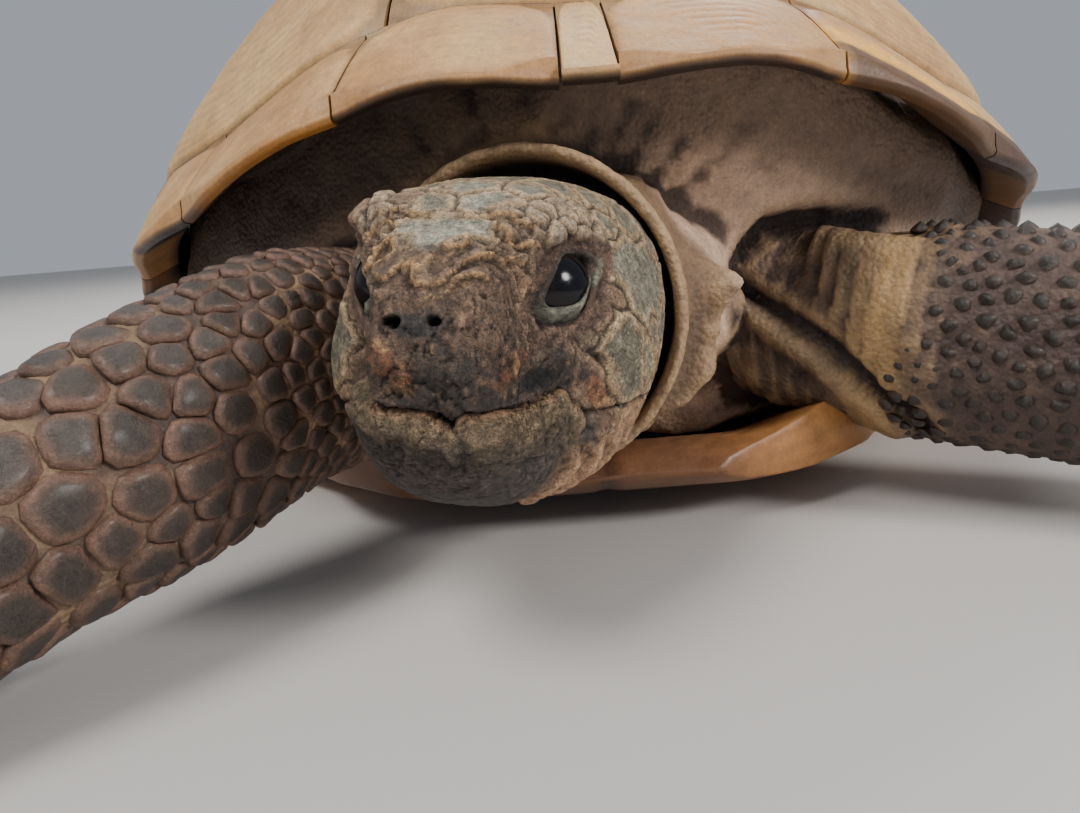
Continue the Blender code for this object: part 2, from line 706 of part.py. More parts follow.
def add_head():
    """The head, parted along the mouth into cranium, lower jaw and the two horny beaks."""
    gap = CLEARANCE / MM / 2
    mouth_top, mouth_bottom = raised(MOUTH_LINE, gap), raised(MOUTH_LINE, -gap)
    corner_y, corner_z = MOUTH_LINE[-1]
    beak_back_top, beak_back_low = (-8.6, 4.6), (-9.4, -4.2)
    upper_beak = [*raised(MOUTH_LINE[:4], gap), beak_back_top, (-14, 6.4), (-27, 6.4)]
    lower_beak = [*raised(MOUTH_LINE[:4], -gap), beak_back_low, (-14, -5.2), (-27, -5.2)]
    jaw = [*mouth_bottom, (corner_y, -30), (-27, -30)]
    jaw_gap = [(-40, -0.4 + gap), *mouth_top, (corner_y + 2 * gap, corner_z + gap), (corner_y + 2 * gap, -40), (-40, -40)]
    regions = {
        "upper_beak": side_region("region_upper_beak", upper_beak),
        "lower_beak": side_region("region_lower_beak", lower_beak),
        "lower_jaw": side_region("region_jaw", jaw),
        "jaw_gap": side_region("region_jaw_gap", jaw_gap),
        "upper_gap": side_region("gap_upper_beak", [(-40, -9), *raised(MOUTH_LINE[:3], -1), (-7.5, 0.4), (-8.3, 4.9),
                                                    (-13.9, 6.7), (-40, 6.7)]),
        "lower_gap": side_region("gap_lower_beak", [(-40, 9), *raised(MOUTH_LINE[:3], 1), (-7.5, 2.4), (-9.1, -4.5),
                                                    (-13.9, -5.5), (-40, -5.5)]),
    }
    head = add_object("head", head_mesh(), "head", BODY)
    boolean(head, "DIFFERENCE", regions["jaw_gap"])
    boolean(head, "DIFFERENCE", regions["upper_gap"])
    jaw_piece = add_object("lower_jaw", head_mesh(), "skin", BODY)
    boolean(jaw_piece, "INTERSECT", regions["lower_jaw"])
    boolean(jaw_piece, "DIFFERENCE", regions["lower_gap"])
    for name in ("upper_beak", "lower_beak"):
        boolean(add_object(name, head_mesh(), "horn", BODY), "INTERSECT", regions[name])
    for side, word in ((1, "left"), (-1, "right")):
        add_object(f"eye_{word}", eye_mesh(side), "eye", BODY)
        boolean(head, "DIFFERENCE", cutter(f"cut_eye_{word}", eye_mesh(side, CLEARANCE)))
        boolean(head, "DIFFERENCE", nostril_cutter(side))


# ---------------------------------------------------------------- neck

# Rings of the neck from inside the trunk to the rolled edge round the back of the head, in
# millimetres in the head's frame: (y, half width, half height, sideways shift, height shift).
NECK_RINGS = ((44, 20, 14.5, 6, 3.5), (34, 20, 15, 4.5, 4.2), (25, 19.5, 16, 2.5, 4.8), (18, 18.8, 17.4, 0.8, 4.8),
              (12, 18.4, 18.6, 0, 4.4), (9.5, 18.2, 18.6, 0, 4.4), (8.6, 17.4, 17.8, 0, 4.4))


def neck_mesh(grow=0.0):
    around = 18
    rings = []
    for y, wide, tall, shift, lift in NECK_RINGS:
        ring = []
        for k in range(around):
            turn = 2 * math.pi * k / around
            x = shift * MM + (wide * MM + grow) * math.cos(turn)
            z = lift * MM + (tall * MM + grow) * math.sin(turn)
            ring.append(Vector((x, y * MM - grow, z)))
        rings.append(ring)
    mesh = loft_mesh(rings)
    mesh.transform(head_frame())
    return mesh


# ---------------------------------------------------------------- the whole animal

clear_scene()
TORTOISE = new_collection("spur_thighed_tortoise")
SHELL, BODY = TORTOISE, TORTOISE
CUTTERS = new_collection("cutters")

add_vertebrals()
add_costals()
add_marginals()
add_plastron()

cut_plastron = plastron_cutter()
trunk = add_object("trunk", trunk_mesh(), "skin", BODY)
boolean(trunk, "DIFFERENCE", cut_plastron)
cut_trunk = cutter("cut_trunk", trunk_mesh(CLEARANCE))
cut_neck = cutter("cut_neck", neck_mesh(CLEARANCE))
cut_head = cutter("cut_head", head_mesh(0.0006))

neck = add_object("neck", neck_mesh(), "skin", BODY)
for other in (cut_trunk, cut_head, cut_plastron):
    boolean(neck, "DIFFERENCE", other)

add_head()

tail = add_object("tail", loft_mesh(limb_rings(TAIL, 10), (0.0, 0.0018)), "skin", BODY)
boolean(tail, "DIFFERENCE", cut_trunk)
boolean(tail, "DIFFERENCE", cut_plastron)

for leg_name in LEGS:
    front = [cut_neck, cut_head] if leg_name.startswith("fore") else []
    add_leg(leg_name, [cut_trunk, cut_plastron, *front])
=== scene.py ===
# %% [markdown]
# # A spur-thighed tortoise at life size
# This lesson dresses a plain solid model of a tortoise. The solids give every size and place, and
# each cell below models one part of the animal over them: horny plates, skin, scales, beak and eyes.
# Lengths are in metres unless a name says mm. The animal faces -Y, its left side is +X, up is +Z.

# %% Load the solid model that everything is fitted to
import math

import bpy
import numpy as np
from mathutils import Matrix, Vector


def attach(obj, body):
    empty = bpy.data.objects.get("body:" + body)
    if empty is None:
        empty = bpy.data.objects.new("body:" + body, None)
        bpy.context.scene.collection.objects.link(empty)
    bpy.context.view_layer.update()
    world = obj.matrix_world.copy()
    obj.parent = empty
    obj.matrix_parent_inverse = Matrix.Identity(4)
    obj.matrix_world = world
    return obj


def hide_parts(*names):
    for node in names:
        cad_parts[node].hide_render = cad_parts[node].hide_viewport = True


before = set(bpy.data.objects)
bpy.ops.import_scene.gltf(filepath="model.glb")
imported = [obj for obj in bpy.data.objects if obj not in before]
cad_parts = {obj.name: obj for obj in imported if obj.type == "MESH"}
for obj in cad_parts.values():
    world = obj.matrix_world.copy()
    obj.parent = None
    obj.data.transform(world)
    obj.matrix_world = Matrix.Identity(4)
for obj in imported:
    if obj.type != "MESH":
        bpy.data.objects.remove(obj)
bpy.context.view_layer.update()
MM = 0.001

# %% [markdown]
# Small helpers come first. Blender's operators act on whatever is selected, so every new piece
# starts from an empty selection. A mesh's points are read into one array and written back from it,
# because an array can be shaped by a formula in a moment, where a loop over points would be slow.

# %% Helpers for selecting, reading and writing meshes


def select_only(*objects):
    bpy.ops.object.select_all(action="DESELECT")
    for obj in objects:
        obj.select_set(True)
    bpy.context.view_layer.objects.active = objects[0] if objects else None


def points_of(obj):
    co = np.empty(len(obj.data.vertices) * 3, np.float32)
    obj.data.vertices.foreach_get("co", co)
    return co.reshape(-1, 3).astype(float)


def set_points(obj, points):
    obj.data.vertices.foreach_set("co", np.ascontiguousarray(points, np.float32).ravel())
    obj.data.update()


def normals_of(obj):
    normals = np.empty(len(obj.data.vertices) * 3, np.float32)
    obj.data.vertex_normals.foreach_get("vector", normals)
    return normals.reshape(-1, 3).astype(float)


def finish_modifiers(obj):
    select_only(obj)
    for modifier in list(obj.modifiers):
        bpy.ops.object.modifier_apply(modifier=modifier.name)
    return obj


def shade(obj, sharp_from=None):
    select_only(obj)
    if sharp_from is None:
        bpy.ops.object.shade_smooth()
    else:
        bpy.ops.object.shade_smooth_by_angle(angle=math.radians(sharp_from))
    return obj


def joined(name, objects):
    select_only(*objects)
    if len(objects) > 1:
        bpy.ops.object.join()
    made = bpy.context.view_layer.objects.active
    made.name = made.data.name = name
    return made


def edit_whole(obj, *steps):
    """Runs operators of edit mode, given as (operator, options), each on the whole mesh."""
    select_only(obj)
    bpy.ops.object.mode_set(mode="EDIT")
    for operator, options in steps:
        bpy.ops.mesh.select_all(action="SELECT")
        operator(**options)
    bpy.ops.object.mode_set(mode="OBJECT")


def faces_outwards(obj):
    edit_whole(obj, (bpy.ops.mesh.normals_make_consistent, {"inside": False}))


def grid_sheet(name, columns, rows, place):
    """A grid primitive whose points go where place(u, v) says, u along the columns and v along the
    rows, both from 0 to 1."""
    select_only()
    bpy.ops.mesh.primitive_grid_add(x_subdivisions=columns - 1, y_subdivisions=rows - 1, size=2)
    obj = bpy.context.object
    obj.name = obj.data.name = name
    flat = points_of(obj)
    set_points(obj, place((flat[:, 0] + 1) / 2, (flat[:, 1] + 1) / 2))
    return obj


def close_sheet(obj, join_within):
    """Merges the edges of a rolled-up grid that meet, and fills the holes at its ends."""
    edit_whole(obj, (bpy.ops.mesh.remove_doubles, {"threshold": join_within}),
               (bpy.ops.mesh.fill_holes, {"sides": 0}),
               (bpy.ops.mesh.normals_make_consistent, {"inside": False}))
    return obj


print("helpers for", len(bpy.data.meshes), "meshes of the solid model and all that follow")

# %% [markdown]
# Living surfaces are never even, so the shapes and the colours share one set of noise functions. The
# noise depends on place alone and gives the same result on each run.

# %% Helpers for noise, smooth steps and colours


def lattice_noise(p, seed=0):
    """Smooth noise from -1 to 1 at points p."""
    base = np.floor(p).astype(np.int64)
    part = p - base
    ease = part**3 * (part * (part * 6 - 15) + 10)
    total = np.zeros(len(p))
    for corner in range(8):
        step = np.array([(corner >> k) & 1 for k in range(3)])
        cell = base + step
        mixed = (cell[:, 0] * 73856093) ^ (cell[:, 1] * 19349663) ^ (cell[:, 2] * 83492791) ^ (seed * 265443)
        mixed = (mixed ^ (mixed >> 13)) * 1274126177
        value = ((mixed ^ (mixed >> 16)) & 0xFFFF) / 32767.5 - 1
        total += value * np.prod(np.where(step, ease, 1 - ease), axis=1)
    return total


def fractal(p, size, octaves=3, seed=0):
    """Noise with detail: size is the width of its largest lumps, in the units of p."""
    total, strength, norm = np.zeros(len(p)), 1.0, 0.0
    q = p / size
    for octave in range(octaves):
        total += strength * lattice_noise(q + 17.3 * octave, seed + octave)
        norm += strength
        q = q * 2.03
        strength *= 0.55
    return total / norm


def ridged(p, size, octaves=3, seed=0):
    """Noise with sharp creases: 1 on them and 0 far from them."""
    return 1 - np.abs(fractal(p, size, octaves, seed)) * 2.2


def ease(low, high, value):
    """0 below low, 1 above high, and an S curve between them."""
    share = np.clip((value - low) / (high - low), 0, 1)
    return share * share * (3 - 2 * share)


def hill(centre, width, value):
    """1 at the centre, falling smoothly to 0 over some widths."""
    return np.exp(-(((value - centre) / width) ** 2))


def tone(red, green, blue):
    """A colour given as screen values from 0 to 255, as the linear values that shaders use."""
    screen = np.array([red, green, blue], float) / 255
    return np.where(screen <= 0.04045, screen / 12.92, ((screen + 0.055) / 1.055) ** 2.4)


def mixed(first, second, share):
    share = np.asarray(share)[..., None]
    return np.asarray(first) * (1 - share) + np.asarray(second) * share


def painted(colour, *coats):
    """The colour under coats of (tone, share), which are laid on in their order."""
    for coat, share in coats:
        colour = mixed(colour, coat, share)
    return colour


def set_tint(obj, colours):
    """Stores a colour for each point, which the piece's material reads as tint."""
    layer = obj.data.color_attributes.get("tint")
    if layer is None:
        layer = obj.data.color_attributes.new("tint", "FLOAT_COLOR", "POINT")
    rgba = np.ones((len(obj.data.vertices), 4), np.float32)
    rgba[:, :3] = np.clip(colours, 0, 1)
    layer.data.foreach_set("color", rgba.ravel())


def neighbour_mean(obj, values, times):
    """The values averaged with their neighbours along the mesh's edges, some times over."""
    edges = np.empty(len(obj.data.edges) * 2, np.int32)
    obj.data.edges.foreach_get("vertices", edges)
    a, b = edges.reshape(-1, 2).T
    count = len(obj.data.vertices)
    near = np.bincount(a, minlength=count) + np.bincount(b, minlength=count)
    near = np.maximum(near, 1)
    values = np.asarray(values, float)
    flat = values.reshape(count, -1)
    for _ in range(times):
        total = np.empty_like(flat)
        for k in range(flat.shape[1]):
            total[:, k] = np.bincount(a, flat[b, k], count) + np.bincount(b, flat[a, k], count)
        flat = 0.5 * flat + 0.5 * total / near[:, None]
    return flat.reshape(values.shape)


def hollows(obj, times):
    """How far each point lies under its surroundings, in mm: over 0 in grooves, under 0 on ridges."""
    here = points_of(obj)
    return ((neighbour_mean(obj, here, times) - here) * normals_of(obj)).sum(1) / MM


print("noise at three points:", np.round(fractal(np.eye(3), 0.4), 2))

# %% [markdown]
# One family of materials serves the whole animal. The large markings come from each piece's own
# tint, which is stored on its points. The shader adds what is too small to model: speckles, fine
# grain in the bump, and a gloss that changes a little from place to place. It reads Object
# coordinates, so the grain has its real size on every piece. Each node is made with its values and
# links in one call, so the shader reads like a sum.

# %% Make the shared kind of material


def textured_material(name, grain_mm, speckle=0.25, bump_mm=0.05, roughness=0.6, pits_mm=0.0, coat=0.0,
                      threads=0.0):
    """A material that reads the tint and adds grain of this size. pits_mm over 0 adds round granules of that
    size, and threads adds pale lines, each with a painted shadow beside it, so that they read as raised
    fibres."""
    made = bpy.data.materials.new(name)
    made.use_nodes = True
    tree = made.node_tree

    def node(kind, inputs, **settings):
        """The outputs of a new node. Its inputs get values, or outputs of other nodes."""
        new = tree.nodes.new("ShaderNode" + kind)
        for key, value in settings.items():
            setattr(new, key, value)
        for key, value in inputs.items():
            if isinstance(value, bpy.types.NodeSocket):
                tree.links.new(value, new.inputs[key])
            else:
                new.inputs[key].default_value = value
        return new.outputs

    def noise(finer, detail, **others):
        """Noise over the piece, this many times finer than the grain."""
        inputs = {"Vector": place, "Scale": finer / (grain_mm * MM), "Detail": detail, **others}
        return node("TexNoise", inputs)["Fac"]

    def remap(value, low, high, to_low, to_high):
        inputs = {"Value": value, "From Min": low, "From Max": high, "To Min": to_low, "To Max": to_high}
        return node("MapRange", inputs)["Result"]

    def times(first, second):
        return node("Math", {0: first, 1: second}, operation="MULTIPLY")["Value"]

    def times_plus(first, second, third):
        return node("Math", {0: first, 1: second, 2: third}, operation="MULTIPLY_ADD")["Value"]

    def far_from(middle, value):
        offset = node("Math", {0: value, 1: middle}, operation="SUBTRACT")["Value"]
        return node("Math", {0: offset}, operation="ABSOLUTE")["Value"]

    place = node("TexCoord", {})["Object"]
    tint = node("Attribute", {}, attribute_name="tint")["Color"]
    grain = noise(1, 6, Roughness=0.65)
    fibre = noise(4.2, 4, Roughness=0.7, Distortion=1.2)
    lines = noise(1.1, 3, Distortion=2.2)
    thread = remap(far_from(0.5, lines), 0.0, 0.022, 1 + threads, 1.0)
    # The dark line beside each pale one is a painted shadow, so the pale lines read as raised fibres.
    fibre_shadow = remap(far_from(0.455, lines), 0.0, 0.026, 1 - 0.7 * min(threads, 1), 1.0)
    drawn = times(thread, fibre_shadow)
    lighter = remap(grain, 0.3, 0.7, 1 - speckle, 1 + speckle)
    spots = remap(fibre, 0.34, 0.66, 1 - 0.8 * speckle, 1 + 0.8 * speckle)
    whole = times(times(lighter, spots), drawn)
    colour = node("VectorMath", {0: tint, 1: whole}, operation="MULTIPLY")["Vector"]
    gloss = remap(grain, 0.3, 0.7, max(0.05, roughness - 0.12), min(1.0, roughness + 0.12))

    carved = times_plus(drawn, 0.35, times_plus(fibre, 0.45, grain))
    relief = {"Height": carved, "Distance": bump_mm * MM, "Strength": 1.0}
    if pits_mm:
        granules = node("TexVoronoi", {"Vector": place, "Scale": 1 / (pits_mm * MM)})["Distance"]
        domes = {"Height": granules, "Distance": 0.35 * pits_mm * MM}
        relief["Normal"] = node("Bump", domes, invert=True)["Normal"]
    bump = node("Bump", relief)["Normal"]

    shader = tree.nodes["Principled BSDF"]
    shader.inputs["Roughness"].default_value = roughness
    shader.inputs["Coat Weight"].default_value = coat
    shader.inputs["Coat Roughness"].default_value = 0.25
    for socket, value in (("Base Color", colour), ("Roughness", gloss), ("Normal", bump)):
        tree.links.new(value, shader.inputs[socket])
    return made


def dress(obj, material, slot, *replaced):
    """Gives a finished piece its material and its place in the model."""
    obj.data.materials.clear()
    obj.data.materials.append(material)
    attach(obj, "root")
    if replaced:
        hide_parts(*replaced)
    return obj


SCUTE_HORN = textured_material("scute_horn", 2.2, speckle=0.20, bump_mm=0.12, roughness=0.52, coat=0.05)
PLASTRON_HORN = textured_material("plastron_horn", 2.0, speckle=0.18, bump_mm=0.08, roughness=0.45, coat=0.1)
BEAK_HORN = textured_material("beak_horn", 0.9, speckle=0.72, bump_mm=0.6, roughness=0.62, threads=0.9)
CLAW_HORN = textured_material("claw_horn", 1.0, speckle=0.3, bump_mm=0.05, roughness=0.35, coat=0.2)
BARE_SKIN = textured_material("bare_skin", 1.8, speckle=0.22, bump_mm=0.28, roughness=0.66, pits_mm=0.7)
FACE_SCALES = textured_material("face_scales", 0.9, speckle=0.55, bump_mm=0.45, roughness=0.60, threads=0.8)
LEG_SCALES = textured_material("leg_scales", 1.3, speckle=0.36, bump_mm=0.38, roughness=0.46, coat=0.1)
print("made", len(bpy.data.materials), "materials")

# %% [markdown]
# The carapace is one dome. Every horny plate lies on it, so its shape is written down once, as the
# height of the surface over each point seen from above. The rim is high over the head, low along
# the sides and raised at the back, and its outline is between an ellipse and a rectangle.

# %% The surface of the carapace
HALF_LENGTH, HALF_WIDTH, SHELL_HEIGHT = 0.105, 0.0825, 0.110
SCUTE_THICKNESS, SEAM = 0.0026, 0.0004
RIM_SQUARENESS, DOME_SQUARENESS, DOME_BULGE, ARCH_END = 2.5, 2.1, 2.05, 0.97
# The height of the rim and of the marginals over it, as (degrees from the front, metres).
RIM_HEIGHTS = ((0, 0.0550), (11, 0.0557), (20, 0.0537), (37, 0.0448), (53, 0.0392), (64, 0.0310),
               (78, 0.0260), (105, 0.0235), (140, 0.0265), (180, 0.0300))
MARGINAL_HEIGHTS = ((0, 0.0110), (40, 0.0115), (60, 0.0150), (80, 0.0200), (120, 0.0210), (180, 0.0190))


def along(stops, where):
    """The values at where on a smooth curve through (place, value) stops, level at both ends."""
    at, value = np.array(stops, float).T
    grade = np.diff(value) / np.diff(at)
    turning = grade[:-1] * grade[1:] > 0
    slope = np.zeros(len(at))
    both = np.where(turning, grade[:-1] + grade[1:], 1)
    slope[1:-1] = np.where(turning, 2 * grade[:-1] * grade[1:] / both, 0)
    where = np.clip(np.asarray(where, float), at[0], at[-1])
    k = np.clip(np.searchsorted(at, where) - 1, 0, len(at) - 2)
    span = at[k + 1] - at[k]
    t = (where - at[k]) / span
    rise = (3 - 2 * t) * t * t
    bend = slope[k] * (1 - t) - slope[k + 1] * t
    return value[k] + (value[k + 1] - value[k]) * rise + span * t * (1 - t) * bend


def columns_along(rows, where):
    """Each column after the first of a table, as a smooth curve over the first."""
    return [along(rows[:, [0, k]], where) for k in range(1, rows.shape[1])]


def half_width_at(y):
    return HALF_WIDTH * (1 + 0.02 * y / HALF_LENGTH)


def plan_point(angle, share):
    """(x, y) at this share of the way from the middle to the rim. Angle 0 is the front."""
    s, c = np.sin(angle), np.cos(angle)
    gauge = (abs(s) ** RIM_SQUARENESS + abs(c) ** RIM_SQUARENESS) ** (1 / RIM_SQUARENESS)
    y = -share * HALF_LENGTH * c / gauge
    return share * half_width_at(y) * s / gauge, y


def gauge_of(x, y, squareness=RIM_SQUARENESS):
    u, v = x / half_width_at(y), -y / HALF_LENGTH
    return np.arctan2(u, v), (abs(u) ** squareness + abs(v) ** squareness) ** (1 / squareness)


def turned(angle):
    """The angle from the front in degrees, the same on both sides."""
    return np.degrees(abs((angle + math.pi) % (2 * math.pi) - math.pi))


def rim_height(angle):
    return along(RIM_HEIGHTS, turned(angle))


def marginal_share(angle):
    return 0.865 + 0.085 * np.sin(angle) ** 2


def marginal_height(angle):
    return along(MARGINAL_HEIGHTS, turned(angle))


def arch(inner, angle):
    power = 1 / along(((0, 1.12), (70, 1.26), (120, 1.32), (180, 1.48)), turned(angle))
    edge = (1 - ARCH_END**DOME_BULGE) ** power
    return (np.maximum(0, 1 - (ARCH_END * inner) ** DOME_BULGE) ** power - edge) / (1 - edge)


def dome_height(x, y):
    angle, share = gauge_of(x, y)
    start, low = marginal_share(angle), rim_height(angle)
    foot = low + marginal_height(angle)
    below = foot - (foot - low) * ((share - start) / (1 - start))
    inner = share / start
    rounder = gauge_of(x, y, DOME_SQUARENESS)[1] / np.maximum(share, 1e-9)
    inner = np.minimum(1, inner * rounder ** (1 - np.minimum(inner, 1) ** 4))
    return np.where(share >= start, below, foot + (SHELL_HEIGHT - foot) * arch(inner, angle))


def dome_points(x, y, out=0.0, lean=0.99):
    """The carapace's surface over (x, y), moved out along its normal."""
    step, u, v = 0.0003, x * lean, y * lean
    slope_x = (dome_height(u + step, v) - dome_height(u - step, v)) / (2 * step)
    slope_y = (dome_height(u, v + step) - dome_height(u, v - step)) / (2 * step)
    normal = np.stack([-slope_x, -slope_y, np.ones_like(slope_x)], 1)
    normal /= np.linalg.norm(normal, axis=1)[:, None]
    return np.stack([x, y, dome_height(x, y)], 1) + normal * np.reshape(out, (-1, 1))


print("dome over the middle:", round(float(dome_height(np.zeros(1), np.zeros(1))[0]), 4))

# %% [markdown]
# A tortoise's scute grows at its edges only. Each season leaves a groove parallel to the outline,
# round the small old plate that it hatched with. The rings are therefore a function of how far a
# point lies between that first plate and the edge. A scute is a grid primitive laid on the dome,
# shaped by its rings, and given its thickness by a Solidify modifier.

# %% Growth rings, and the colours of the shell
STRAW, TAN, OCHRE = tone(206, 166, 110), tone(176, 128, 76), tone(182, 120, 54)
SHELL_DARK, SCUTE_RINGS = tone(46, 34, 26), 11


def ring_place(u, v, centre):
    """0 in the middle of the first plate, 1 at the outline, in a shape that follows the outline."""
    cu, cv = centre
    a = np.where(u > cu, (u - cu) / (1 - cu), (cu - u) / cu)
    b = np.where(v > cv, (v - cv) / (1 - cv), (cv - v) / cv)
    return (a**5 + b**5) ** 0.2


def ring_relief(m, rings, wander):
    """Height of the growth rings, 0 to 1: rounded ribs with narrow grooves, and a grainy first plate."""
    phase = (m - 0.22) / 0.78 * rings + wander
    part = phase - np.floor(phase)
    rib = 1 - np.maximum(hill(0, 0.16, part), hill(1, 0.16, part))
    return np.where(m > 0.2, rib, 0.85)


def scute_looks(flat, u, v, centre, seed, dark):
    """(height in metres, colour) of a scute's surface, from its plan in metres and its own u and v."""
    m = ring_place(u, v, centre)
    wander = 0.35 * fractal(flat, 0.014, 2, seed)
    relief = ring_relief(m, SCUTE_RINGS, wander)
    wear = 0.55 + 0.45 * fractal(flat, 0.03, 2, seed + 3)
    crowned = 0.0010 * (1 - m**6) - 0.0007 * ease(0.93, 1.0, m)
    grain = 0.00008 * fractal(flat, 0.002, 3, seed + 5)
    height = crowned + 0.00013 * relief * wear + grain
    colour = painted(STRAW, (TAN, ease(-0.5, 0.7, fractal(flat, 0.02, 3, seed + 7))),
                     (OCHRE, 0.4 * ease(0.1, 0.8, fractal(flat, 0.012, 3, seed + 8))))
    smudge = fractal(flat, 0.022, 4, seed + 9) - 0.35 + dark * 0.5 + 0.25 * (1 - ease(0.0, 0.3, m))
    return height, painted(colour * (0.84 + 0.16 * relief)[:, None],
                           (SHELL_DARK, 0.85 * ease(0.12, 0.42, smudge)),
                           (SHELL_DARK * 1.6, 0.45 * ease(0.965, 1.0, m)))


def on_line(corners, share):
    """Points at these shares of the way along a line of corners, counted by corner."""
    corners = np.array(corners, float)
    spots = np.arange(len(corners))
    place = np.asarray(share) * (len(corners) - 1)
    return np.stack([np.interp(place, spots, corners[:, k]) for k in range(2)], 1)


print("growth rings on each scute:", SCUTE_RINGS)

# %% [markdown]
# Five vertebral scutes run down the middle and four costals lie on each side. Their corners are
# given seen from above. The outer edge of a costal follows the line where the marginals begin.

# %% Model the vertebral and costal scutes
SEAM_CORNERS = [(0.0170, -0.0580), (0.0195, -0.0180), (0.0195, 0.0210), (0.0150, 0.0560)]
SIDE_CORNERS = [(0.0280, -0.0385), (0.0310, 0.0010), (0.0275, 0.0385)]
COSTAL_ANGLES = [math.radians(a) for a in (19, 66, 92, 118, 153)]
SCUTE_COLUMNS, SCUTE_ROWS, HORN_THICKNESS, SHARP_FROM = 76, 64, 0.0024, 50


def mirror_line(line, side):
    return [(side * x, y) for x, y in line]


def contour(first, last, side=1, steps=16):
    angles = np.linspace(first, last, steps + 1)
    return list(zip(*plan_point(side * angles, marginal_share(angles))))


def scute(name, inner, outer, seed, dark, crowd=1.0, centre=(0.5, 0.5)):
    """A scute between an inner and an outer edge seen from above. crowd over 1 packs its columns
    towards the outer edge."""
    length = sum(math.dist(a, b) for a, b in zip(outer, outer[1:]))
    width = math.dist(inner[len(inner) // 2], outer[len(outer) // 2])
    gap_v, gap_u = SEAM / 2 / length, SEAM / 2 / width
    found = {}

    def place(u, v):
        inside = gap_v + (1 - 2 * gap_v) * v
        near, far = on_line(inner, inside), on_line(outer, inside)
        spot = near + (far - near) * (gap_u + (1 - gap_u) * (1 - (1 - u) ** crowd))[:, None]
        flat = np.column_stack([spot, np.full(len(u), seed * 0.1)])
        height, found["colour"] = scute_looks(flat, u, v, centre, seed, dark)
        return dome_points(spot[:, 0], spot[:, 1], height)

    obj = grid_sheet("scute_" + name, SCUTE_COLUMNS, SCUTE_ROWS, place)
    set_tint(obj, found["colour"])
    faces_outwards(obj)
    if obj.data.polygons[len(obj.data.polygons) // 2].normal.z < 0:
        edit_whole(obj, (bpy.ops.mesh.flip_normals, {}))
    thick = obj.modifiers.new("thickness", "SOLIDIFY")
    thick.thickness = HORN_THICKNESS
    thick.offset = -1
    return dress(shade(finish_modifiers(obj), SHARP_FROM), SCUTE_HORN, "scute", name)


def model_vertebrals():
    right = mirror_line(SEAM_CORNERS, -1)
    first, last = COSTAL_ANGLES[0], COSTAL_ANGLES[-1]
    scute("vertebral_1", [right[0], SEAM_CORNERS[0]], contour(-first, first), 11, 0.30)
    for i, bulge in enumerate(SIDE_CORNERS):
        edge = [SEAM_CORNERS[i], bulge, SEAM_CORNERS[i + 1]]
        scute(f"vertebral_{i + 2}", mirror_line(edge, -1), edge, 12 + i, 0.55)
    back = contour(last, 2 * math.pi - last)
    scute("vertebral_5", [SEAM_CORNERS[3], right[3]], back, 15, 0.55, 1.3, (0.4, 0.5))


def model_costals():
    inner_edges = [
        [SEAM_CORNERS[0], SIDE_CORNERS[0]],
        [SIDE_CORNERS[0], SEAM_CORNERS[1], SIDE_CORNERS[1]],
        [SIDE_CORNERS[1], SEAM_CORNERS[2], SIDE_CORNERS[2]],
        [SIDE_CORNERS[2], SEAM_CORNERS[3]],
    ]
    for side, word in ((1, "left"), (-1, "right")):
        for i, edge in enumerate(inner_edges):
            outer = contour(COSTAL_ANGLES[i], COSTAL_ANGLES[i + 1], side)
            dark = 0.25 if i == 0 else 0.5
            scute(f"costal_{word}_{i + 1}", mirror_line(edge, side), outer, 20 + 5 * side + i, dark, 1.6,
                  (0.3, 0.5))


model_vertebrals()
model_costals()
print("13 scutes on the dome")

# %% [markdown]
# The marginal scutes form the edge of the shell. Each one bends under its lip, so it is modelled as
# a loop through its outer face, its lip and the face under the lip, carried along the edge. A grid
# primitive becomes such a tube when one pair of its sides meets, and its two ends are then filled.
# Every scute has its own curved lip, which gives the edge its shallow notches.

# %% Model the marginal scutes, the nuchal and the supracaudal
MARGINAL_SEAMS = [math.radians(a) for a in (2.2, 20, 37, 56, 71, 86, 101, 116, 131, 145, 157, 169)]
UNDER_PAINTED_SHADE, UNDER_OCHRE = tone(44, 30, 26), tone(120, 74, 40)
LOOP_COLUMNS, LOOP_ROWS = 40, 113
LIP = 0.5  # how far round the loop the outer face ends and the lip begins
LIP_CURVE = ((0, -0.016), (0.25, 0.001), (0.5, 0.006), (0.75, 0.001), (1, -0.016))


def marginal_loop(angle, edge_out, v):
    """Points of the edge's outline at these angles, v going round it from the top of the outer face."""
    start = marginal_share(angle) + SEAM / 2 / HALF_WIDTH
    ends = np.cos(angle) ** 2
    low = rim_height(angle)
    lip = 1 + edge_out

    def spot(share):
        return plan_point(angle, share)

    top_x, top_y = spot(start)
    inside_x, inside_y = spot(0.94 - 0.045 * ends)
    back = dome_points(top_x, top_y, -SCUTE_THICKNESS, 1.03)
    corners = [
        (0.0, dome_points(top_x, top_y)),
        (LIP, np.column_stack([*spot(lip - 0.002), low + 0.0011])),
        (0.53, np.column_stack([*spot(lip), low + 0.0005])),
        (0.56, np.column_stack([*spot(lip - 0.004), low - 0.0001 * ends])),
        (0.60, np.column_stack([*spot(lip - 0.014), low - 0.0004 * ends])),
        (0.76, np.column_stack([inside_x, inside_y, low + 0.0065 * ends])),
        (0.92, back),
        (1.0, dome_points(top_x, top_y)),
    ]
    made = np.zeros((len(v), 3))
    for (a, first), (b, second) in zip(corners, corners[1:]):
        inside = (v >= a - 1e-9) & (v <= b + 1e-9)
        share = ((v - a) / (b - a))[inside, None]
        made[inside] = first[inside] * (1 - share) + second[inside] * share
    outer = v < LIP
    share = start + (lip - 0.002 - start) * v / LIP
    over = dome_points(*spot(share), 0.0006 * np.sin(np.pi * np.clip(v / LIP, 0, 1)), 1.0)
    over[:, 2] += 0.0011 * (v / LIP) ** 3
    made[outer] = over[outer]
    return made


